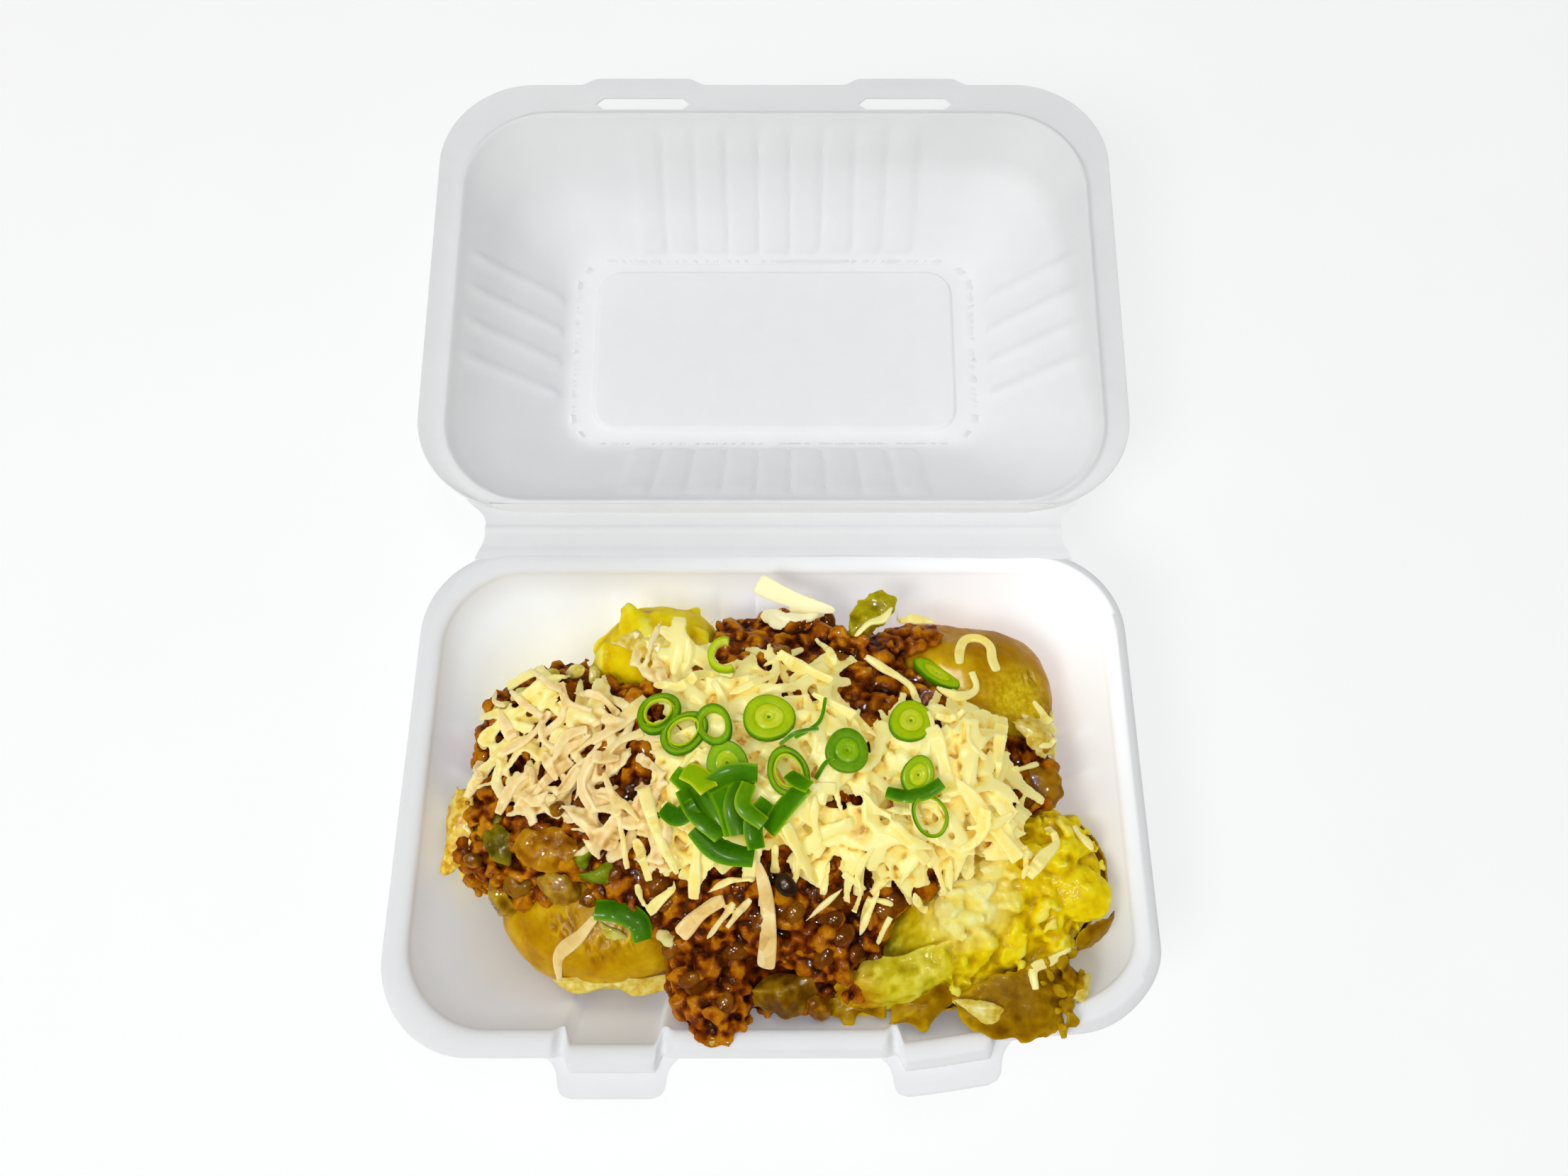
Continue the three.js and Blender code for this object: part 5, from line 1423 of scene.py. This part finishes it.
def scattered(draw, count, west, east, width, length, thick, stray=0.06):
    parts = []
    while len(parts) < count:
        x, y = draw.uniform(west, east), draw.uniform(-50, 60)
        if draw.random() > 2.5 * cheeseAmount(x, y) + stray:
            continue
        size = draw.uniform(*length)
        path = chancePath(draw, x, y, size, draw.gauss(0, 0.15))
        if min(pile.at(*p) for p in path) < 34:
            continue
        parts.append((shredPart(draw, path, draw.uniform(*width), draw.uniform(*thick)), hexFaces))
    return parts


draw = random.Random(shreds["seed"])
s = shreds
bed = scattered(draw, s["bed"], -34, 76, (6, 9), (9, 15), (0.9, 1.3), 0.0)
centre = bed + scattered(draw, s["centre"], -36, 98, s["centreWidth"], s["centreLength"], s["thick"], 0.0)
melt = fused("cheese_melted", [blockMesh("centre_shreds", centre)], s["voxel"], 6)
applied(melt, "DECIMATE", ratio=0.45)
left = scattered(draw, s["left"], -100, -34, s["leftWidth"], s["leftLength"], s["thick"], 0.0)
leftCheese = fused("cheese_left", [blockMesh("left_shreds", left)], s["voxel"], 4)
for thing in (melt, leftCheese):  # the uneven edges of soft cheese
    pushedOut(thing, wavy(readPoints(thing), 1000 / 3, 2, 6.0) * s["ragged"])

handLaid = [  # broad strips on top: width and places
    (4.2, [(-39, 24), (-47, 16), (-55, 9)]), (3.4, [(-12, 30), (-21, 31), (-29, 26), (-37, 28)]),
    (2.0, [(-51, 0), (-46, -12), (-43, -28)]), (3.8, [(-38, -6), (-33, -20), (-27, -31)]),
    (3.4, [(-21, -19), (-22, -28), (-23, -37)]), (3.2, [(1, -16), (8, -24), (14, -33)]),
    (3.2, [(12, 23), (23, 17), (32, 10)]), (2.6, [(-3, 34), (4, 39), (10, 43)]),
    (3.6, [(2, 39), (10, 33), (19, 29)]), (2.2, [(14, 47), (18, 41), (20, 35)]),
    (3.0, [(-84, -11), (-80, -2), (-74, 3)]), (2.4, [(-73, 11), (-65, 20), (-67, 28)]),
    (2.6, [(-85, 8), (-74, 15), (-70, 21)]), (2.0, [(-84, 29), (-79, 24), (-72, 19)]),
    (2.2, [(-67, 30), (-64, 23), (-56, 20)]), (2.4, [(-63, 27), (-54, 25), (-48, 19)]),
    (2.8, [(-74, -7), (-69, 0), (-62, 5)]), (2.8, [(-66, -6), (-61, 0), (-54, 5)]),
    (2.2, [(-60, -8), (-56, 0), (-54, 7)]), (2.4, [(-69, 3), (-62, 9), (-55, 12)]),
    (2.6, [(30, 40), (37, 35), (44, 29), (46, 22)]), (3.0, [(84, 27), (88, 23), (92, 18)]),
    (2.6, [(80, 22), (86, 20), (91, 22)]), (2.6, [(86, 16), (90, 14), (92, 9)]),
    (2.2, [(83, 12), (88, 12), (91, 15)]), (2.6, [(26.5, 46), (31.5, 50.5), (36, 52), (39, 56)]),
    (3.0, [(40.5, 55), (47, 55.5), (54, 53.5)]), (2.8, [(52, 29), (59, 26), (65, 29), (64, 35)]),
    (3.8, [(73, 20), (70, 11), (68, -2)]), (4.6, [(48, 13), (51, 4), (53, -9)]),
    (4.4, [(54, -3), (62, -13), (73, -26)]), (3.8, [(34, -17), (40, -22), (46, -27)]),
    (3.0, [(4, -17), (8, -25), (13, -33)]), (2.4, [(21, -30), (24, -32), (28, -34)]),
    (1.6, [(10, -43), (16, -38), (21, -34)]), (2.0, [(26, -47), (28, -40), (29, -36)]),
    (1.6, [(28, -37), (32, -37), (36, -38)]), (2.4, [(50, 17), (55, 16), (61, 21)]),
    (1.8, [(74, 2), (79, 4), (84, 6)]), (2.4, [(42, -35), (44, -38), (47, -39)]),
    (4.0, [(-27, -47), (-22, -41), (-14, -37)]), (2.0, [(-19, -35), (-12, -32), (-5, -32)]),
    (2.0, [(-19, -48), (-14, -42), (-11, -38)]), (3.4, [(-37, -40), (-32, -36), (-28, -33)]),
    (2.0, [(-13, -45), (-9, -40), (-6, -37)]), (2.2, [(26, -47), (29, -40), (32, -34)]),
    (3.4, [(77, -30), (82, -24), (87, -19), (85, -14)]), (2.4, [(77, -62), (77, -56), (82, -54), (89, -50)]),
    (2.0, [(75, -22), (76, -26), (75, -31)]), (2.4, [(94, -13), (96, -17), (99, -21)]),
]
loose = [(shredPart(draw, path, width, 1.2, 16, flatSection, 38), flatFaces) for width, path in handLaid]
extra = scattered(draw, s["loose"], -92, 92, (1.8, 3.8), (7, 19), (0.8, 1.1), 0.012)
looseCheese = blockMesh("cheese_loose", loose + extra)
edgeParts = []
for turn in range(26):  # short ends that hang off the edge of the heap
    x, y = draw.uniform(-60, 60), draw.uniform(-46, -30)
    if cheeseAmount(x, y + 8) < 0.1:
        continue
    path = chancePath(draw, x, y, draw.uniform(6, 11), draw.gauss(0, 0.1),
                      math.pi / 2 + draw.uniform(-0.5, 0.5))
    edgeParts.append((shredPart(draw, path, draw.uniform(1.5, 2.2), 0.9), hexFaces))
looseCheese = fused("cheese_loose", [blockMesh("edge_shreds", edgeParts), looseCheese], 0.42, 3)


def cheesePaint(name, warm, glow):
    # warm cheese is soaked by oil nearly all over, the rest only towards the left and the front
    # painted light: every cheese paint glows faintly in its own colour
    paint = Paint(
        name, Roughness=0.45, Specular_IOR_Level=0.12, Specular_Tint=(1.0, 0.92, 0.6), Emission_Strength=0.11,
        Coat_Weight=0.04, Coat_Roughness=0.2,
        Subsurface_Weight=glow, Subsurface_Radius=(0.004, 0.003, 0.0012), Subsurface_Scale=1.0,
    )
    broad, tiny = paint.grain(13, 3), paint.grain(1.6, 3)
    strip = paint.cells(4.5, out="Color")
    # painted shade: through the rise mark, the hollows between strips turn dark brown and the crests pale
    mixed = broad * 0.3 + strip * 0.15 + tiny * 0.1 + paint.own("rise") * 0.45
    cream = paint.ramp(mixed, (0.24, (0.42, 0.17, 0.01)), (0.34, (0.82, 0.54, 0.08)),
                       (0.46, (0.99, 0.78, 0.18)), (0.62, (1.0, 0.88, 0.33)))
    beige = paint.ramp(mixed, (0.24, (0.24, 0.080, 0.008)), (0.36, (0.56, 0.31, 0.075)),
                       (0.50, (0.82, 0.56, 0.20)), (0.66, (0.95, 0.75, 0.38)))
    if warm:
        colour = paint.blend(paint.farFrom((-80, 34, 46), 16, 48), cream, beige)
    else:
        left = paint.farFrom((-76, 4, 50), 30, 52)
        front = paint.farFrom((0, -62, 45), 22, 40)
        colour = paint.blend(left * front, beige, cream)
        colour = paint.blend(paint.farFrom((8, 62, 55), 14, 20), (1.0, 0.93, 0.55), colour)
    paint.set(
        Base_Color=colour,
        Emission_Color=colour,  # painted light: the cheese glows in its own colour, lifting the shade between strips as light through thin cheese would
        Roughness=paint.level(tiny, 0.3, 0.7, 0.3, 0.55),
        Normal=paint.raised(tiny, 0.2, 0.3),
    )
    return paint


creamPaint = cheesePaint("cheese_cream", False, 0.3)
beigePaint = cheesePaint("cheese_beige", True, 0.4)
stripPaint = cheesePaint("cheese_strip", False, 0.35)
finished(melt, creamPaint, "cheese", "cheese")
finished(leftCheese, beigePaint, "cheese", "cheese")
finished(looseCheese, stripPaint, "cheese", "cheese")
print("cheese made:", len(melt.data.polygons), len(leftCheese.data.polygons), "faces")

strands = {  # width, least height and places of the long strands
    "front": (5.4, 0, [(-4, -27), (-1.4, -37), (-0.9, -47), (-1.7, -56)]),
    "left": (3.6, 30, [(-53, -41), (-58, -46.5), (-64.5, -51.5), (-65.2, -59)]),
    "back": (6.0, 53, [(-5.2, 65.5), (1.1, 62), (9.3, 58.5), (20.5, 55.5)]),
    "right": (3.5, 0, [(60.4, 37.5), (60.8, 42.5), (63.5, 47.4), (68.5, 47.4), (71.2, 44.5), (71.2, 40),
                       (72.6, 35.5)]),
    "middle": (4.4, 0, [(-27, -47), (-22, -42), (-14, -37)]),
}
for name, (width, lowest, path) in strands.items():
    part = shredPart(draw, path, width, 1.3, 16, flatSection, lowest)
    made = blockMesh("cheese_strand_" + name + "_piece", [(part, flatFaces)])
    applied(made, "SUBSURF", levels=2, render_levels=2)
    finished(made, stripPaint if name in ("back", "right") else beigePaint, "cheese", "cheese_strand_" + name)
print("strands laid")


# spring onion

greenPaint = Paint(
    "onion_green", Roughness=0.42, Specular_IOR_Level=0.05, Specular_Tint=(0.7, 1.0, 0.2),
    Coat_Weight=0.02, Coat_Roughness=0.15,
    Subsurface_Weight=0.2, Subsurface_Radius=(0.001, 0.003, 0.0005), Subsurface_Scale=1.0,
)
veins = greenPaint.grain(1.3, 3)
uneven = greenPaint.grain(8, 2)
tone = greenPaint.own("tone") + (uneven - 0.5) * 0.25 + (veins - 0.5) * 0.15
greenPaint.set(
    Base_Color=greenPaint.ramp(tone, (0.0, (0.010, 0.085, 0.0003)), (0.25, (0.075, 0.245, 0.0004)),
                               (0.5, (0.24, 0.47, 0.001)), (0.75, (0.60, 0.69, 0.004)),
                               (1.0, (0.88, 0.90, 0.20))),
    Roughness=greenPaint.level(veins, 0.3, 0.7, 0.3, 0.5),
    Normal=greenPaint.raised(veins, 0.15, 0.4),
)


def restingFrame(node):
    # middle in mm and turn of a small flat CAD piece
    spots = np.array([v.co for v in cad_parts[node].data.vertices]) / mm
    middle = spots.mean(0)
    _, ways = np.linalg.eigh(np.cov((spots - middle).T))
    up = ways[:, 0] * np.sign(ways[2, 0])
    along = ways[:, 2]
    return middle, np.column_stack([along, np.cross(up, along), up])


def turnedPart(profile, tones, steps, squash, phase, arc=1.0, closed=True):
    # a profile of radius and height swept round, with a slightly uneven outline
    count = len(profile)
    angles = np.linspace(0, 2 * math.pi * arc, steps, endpoint=arc < 1)
    uneven = 1 + 0.04 * np.sin(2 * angles + phase) + 0.025 * np.sin(3 * angles + 2 * phase)
    radius = profile[:, 0][None] * uneven[:, None]
    spots = np.stack([radius * np.cos(angles)[:, None] * squash, radius * np.sin(angles)[:, None] / squash,
                      np.broadcast_to(profile[:, 1][None], radius.shape)], 2).reshape(-1, 3)
    faces = []
    turns = steps if arc >= 1 else steps - 1
    for i in range(turns):
        k = (i + 1) % steps
        for j in range(count if closed else count - 1):
            m = (j + 1) % count
            faces.append((i * count + j, k * count + j, k * count + m, i * count + m))
    if arc < 1:
        faces += [tuple(range(count)), tuple(range((steps - 1) * count, steps * count))[::-1]]
    return spots, faces, np.tile(tones, steps)


def wallProfile(radius, wall, height):
    inner = radius - wall
    spots = [(radius, 0.15), (radius, 0.8), (radius - 0.2 * wall, 1), (inner + 0.25 * wall, 1), (inner, 0.82),
             (inner, 0.15), (inner + 0.25 * wall, 0),
             (radius - 0.2 * wall, 0)]
    return np.array([(r, z * height) for r, z in spots]), np.array([0.16, 0.2, 0.36, 0.5, 0.6, 0.55, 0.5,
                                                                    0.24])


def slicePart(radius, height, pale):
    # a cut slice: skin, then the edge of each layer towards a small slit
    spots = [(0.0, 0.0), (radius * 0.9, 0.0), (radius, 0.25 * height), (radius, 0.8 * height),
             (radius * 0.965, height)]
    tones = [0.4, 0.3, 0.26, 0.28, 0.4]
    for edge, shade in ((0.9, -0.14), (0.52, 0.02)):
        spots += [(radius * edge, height * 1.02), (radius * (edge - 0.18), height * 1.03),
                  (radius * (edge - 0.30), height * 1.0),
                  (radius * (edge - 0.34), height * 0.985)]
        tones += [pale + shade, pale + shade + 0.04, pale + shade, pale + shade - 0.06]
    spots += [(radius * 0.10, height * 1.0), (radius * 0.05, height * 0.7), (0.0, height * 0.65)]
    tones += [pale + 0.16, 0.45, 0.3]
    return np.array(spots), np.array(tones)


def settled(middle, turn, spots, sink=0.4):
    # turns a ring to its place and lets it down on the pile
    moved = spots @ turn.T + np.append(middle[:2], 0)
    lift = np.percentile(pile.at(moved[:, 0], moved[:, 1]) - moved[:, 2], 90)
    moved[:, 2] += lift - sink
    pile.raiseTo(moved[::7], 0.6)
    return moved


ringLook = {  # radius, wall, height, squash
    1: (6.8, 1.9, 2.8, 1.12), 2: (6.6, 1.9, 2.6, 1.05), 3: (6.0, 2.2, 3.0, 1.08), 4: (6.8, 1.9, 2.8, 1.1),
    5: (5.8, 0.9, 1.8, 1.12),
}
for index, (radius, wall, height, squash) in ringLook.items():
    middle, turn = restingFrame(f"onion_ring_{index}")
    outer = turnedPart(*wallProfile(radius, wall, height), 44, squash, 0.7 * index)
    inner = turnedPart(*wallProfile(radius - wall - 0.25, 0.8, height * 0.8), 40, squash, 0.7 * index)
    parts, values = [], []
    for k, (spots, faces, tones) in enumerate((outer, inner) if index in (1, 2, 4) else (outer,)):
        parts.append((settled(middle, turn, spots), faces))
        values.append(tones + 0.25 * k)
    made = blockMesh(f"onion_ring_{index}_piece", parts, values)
    finished(made, greenPaint, "onion_green", f"onion_ring_{index}")
# the sixth ring is cut open and lies as an arc
middle, turn = restingFrame("onion_ring_6")
spots, faces, tones = turnedPart(*wallProfile(5.6, 2.2, 4.0), 34, 1.0, 0.4, arc=0.62)
spin = np.array(Matrix.Rotation(math.radians(78), 3, "Z"))
spots = settled(np.array((-14.5, 35.5, 0)), spin, spots)
made = blockMesh("onion_ring_6_piece", [(spots, faces)], [tones + 0.3])
finished(made, greenPaint, "onion_green", "onion_ring_6")

discLook = {  # radius, height, paleness, squash
    1: (6.8, 2.8, 0.74, 1.0), 2: (5.4, 2.6, 0.68, 1.1), 3: (6.6, 2.6, 0.45, 1.02), 4: (7.6, 3.2, 0.74, 1.0),
    5: (6.4, 2.6, 0.60, 1.0), 6: (5.4, 2.4, 0.70, 1.5),
}
for index, (radius, height, pale, squash) in discLook.items():
    middle, turn = restingFrame(f"onion_disc_{index}")
    spots, faces, tones = turnedPart(*slicePart(radius, height, pale), 44, squash, 1.3 * index, closed=False)
    made = blockMesh(f"onion_disc_{index}_piece", [(settled(middle, turn, spots), faces)], [tones])
    inEditMode(made, (bpy.ops.mesh.remove_doubles, {"threshold": 0.00002}),
               (bpy.ops.mesh.normals_make_consistent, {"inside": False}))
    finished(made, greenPaint, "onion_green", f"onion_disc_{index}")


def leafPart(path, width, thick, bend, roll, lift, shade, count=22):
    flat = laidLine(path, width, thick, count, 0.95, 0.6, press=2.5)
    steps = np.linspace(0, 1, count)
    flat[:, 2] += lift * np.sin(np.pi * steps)
    wide = width * (0.86 + 0.14 * np.sin(np.pi * steps))
    section = curledSection(bend)
    spots = stripAlong(flat, wide, thick, roll, section)
    tones = np.tile(np.where(section[:, 1] > 0, shade, shade + 0.3), count)
    tones += np.tile(0.25 * (np.abs(section[:, 0]) > 0.45), count)
    tones += np.repeat(0.1 * np.abs(2 * steps - 1) ** 4, len(section))
    return spots, stripFaces(count, len(section)), tones


leaves = {  # width, curl, roll, lift, shade, places
    "pile": [
        (7.4, 0.16, 0.2, 0.5, 0.10, [(-22, -18), (-15.5, -24), (-5, -26)]),
        (6.1, 0.10, -0.3, 0.8, 0.20, [(-29, -1.5), (-22, -8), (-17, -16), (-14, -21)]),
        (5.7, 0.12, 0.3, 1.0, 0.15, [(-26, -7), (-22, -14), (-14.5, -21)]),
        (6.2, 0.12, -0.2, 1.2, 0.22, [(-16, -6), (-12.5, -14), (-11, -21)]),
        (6.5, 0.12, 0.2, 1.0, 0.12, [(-7, -3.5), (-10.5, -12), (-9, -21)]),
        (6.2, 0.10, 0.35, 0.8, 0.18, [(-1, -19), (4, -12.5), (10, -7)]),
        (5.9, 0.12, -0.3, 1.0, 0.12, [(-4, -25), (-5, -18), (-1, -11)]),
        (6.2, 0.12, 0.4, 1.2, 0.16, [(-4, -3), (-12, -3.5), (-19, -7)]),
        (5.7, 0.14, 0.0, 0.6, 0.08, [(-32, -12), (-27.5, -15), (-22, -12)]),
        (5.1, 0.10, 0.2, 1.0, 0.26, [(-6.5, -6), (-8, -12.5), (-2, -18)]),
        (4.6, 0.10, 0.2, 0.5, 0.20, [(5, -3), (8, -6), (11, -8)]),
        (1.2, 0.05, 0.0, 0.4, 0.25, [(16.3, 21), (14.4, 13.4), (7, 8)]),
        (1.3, 0.05, 0.0, 0.4, 0.20, [(2.4, 5.7), (7, 9), (14, 10.5)]),
        (1.4, 0.05, 0.0, 0.2, 0.25, [(13, -4), (16.4, 0.5), (18.3, 1.5)]),
        (6.8, 0.12, 0.2, 0.5, 0.55, [(-26, -1), (-22, -3), (-18, -8)]),
    ],
    "left": [(7.0, 0.14, 0.2, 0.8, 0.10, [(-53, -39), (-46, -39.5), (-39.5, -43), (-38, -48)])],
    "right": [(4.6, 0.2, 0.3, 0.5, 0.14, [(34, -7), (40, -8.5), (46, -7.5), (50, -5)])],
}
for name, node in (("pile", "onion_greens"), ("left", "onion_leaf_left"), ("right", "onion_leaf_right")):
    parts, values = [], []
    for width, bend, roll, lift, shade, path in leaves[name]:
        spots, faces, tones = leafPart(path, width, 0.42, 0.7 * bend, roll, lift, shade)
        parts.append((spots, faces))
        values.append(tones)
    made = blockMesh(node + "_piece", parts, values)
    finished(made, greenPaint, "onion_green", node)
    smoothShaded(made, 45)
print("spring onion laid")

strays = {  # slot, node, colours dark to light, then each one's place and half sizes
    "onion_bits": ("onion_pale", "cheese", ((0.58, 0.46, 0.04), (0.80, 0.70, 0.14), (0.95, 0.88, 0.34)), [
        (-73, 34, 4.5, 2.6, 1.0), (-64, 36, 5.0, 2.4, 1.0), (-87, 25, 4.0, 2.2, 1.0),
        (-80, 30, 4.2, 3.0, 1.0), (-93, 14, 3.5, 2.0, 1.0), (-68, 31, 3.0, 2.0, 1.0),
        (-58, 35, 3.6, 2.2, 1.2), (92, 24, 3.5, 2.4, 1.0), (94, 18, 3.0, 2.0, 1.0),
        (-17.3, -76, 1.2, 0.9, 0.8)]),
    "amber_chunks": ("tomato", "chilli", ((0.09, 0.025, 0.0003), (0.24, 0.080, 0.0006), (0.46, 0.22, 0.005)),
                     [
        (-92, -24, 3.5, 2.5, 2.2), (14, -67, 5.5, 3.5, 3.0), (3, 40, 4.0, 3.5, 3.0),
        (-66, -10, 4.0, 3.0, 2.4), (-55, -35, 4.0, 3.0, 2.4)]),
}
restTree = treeOf([tray, chilli, beans, *potatoes.values()])
for name, (slot, node, stops, spots) in strays.items():
    parts = []
    for x, y, long, wide, high in spots:
        height, normal = topOf(restTree, x * mm, y * mm)
        at = (x, y, height / mm + 0.35 * high)
        lump = roughLump(draw, at, (long, wide, high), normal, tilt=0.35, rough=0.22, shape=lumpShape)
        parts.append((lump, lumpFaces))
    paint = wetPaint(name, 0.8, 0.12)
    tiny = paint.grain(4, 3)
    paint.set(
        Base_Color=paint.ramp(tiny, *zip((0.32, 0.5, 0.68), stops)),
        Normal=paint.raised(paint.grain(1.2, 3), 0.3, 0.4),
    )
    made = blockMesh(name, parts)
    applied(made, "SUBSURF", levels=1, render_levels=1)
    finished(made, paint, slot, node)
print("stray bits laid")

# what lies on the front rim is pressed down softly, to leave room for the rim of the closed lid
lidOver = {"north": (-75.6, -72, -69, -60), "height": (46.7, 50.2, 52.4, 60.0), "soft": 0.25}
for piece in (potatoes["potato_front_scrap"], crumbs, chilli, bpy.data.objects["onion_bits"]):
    spots = readPoints(piece)
    roof = np.interp(spots[:, 1] / mm, lidOver["north"], lidOver["height"]) * mm
    soft = lidOver["soft"] * mm
    spots[:, 2] = -soft * np.logaddexp(-spots[:, 2] / soft, -roof / soft)
    writePoints(piece, spots)
print("rim kept clear for the lid")
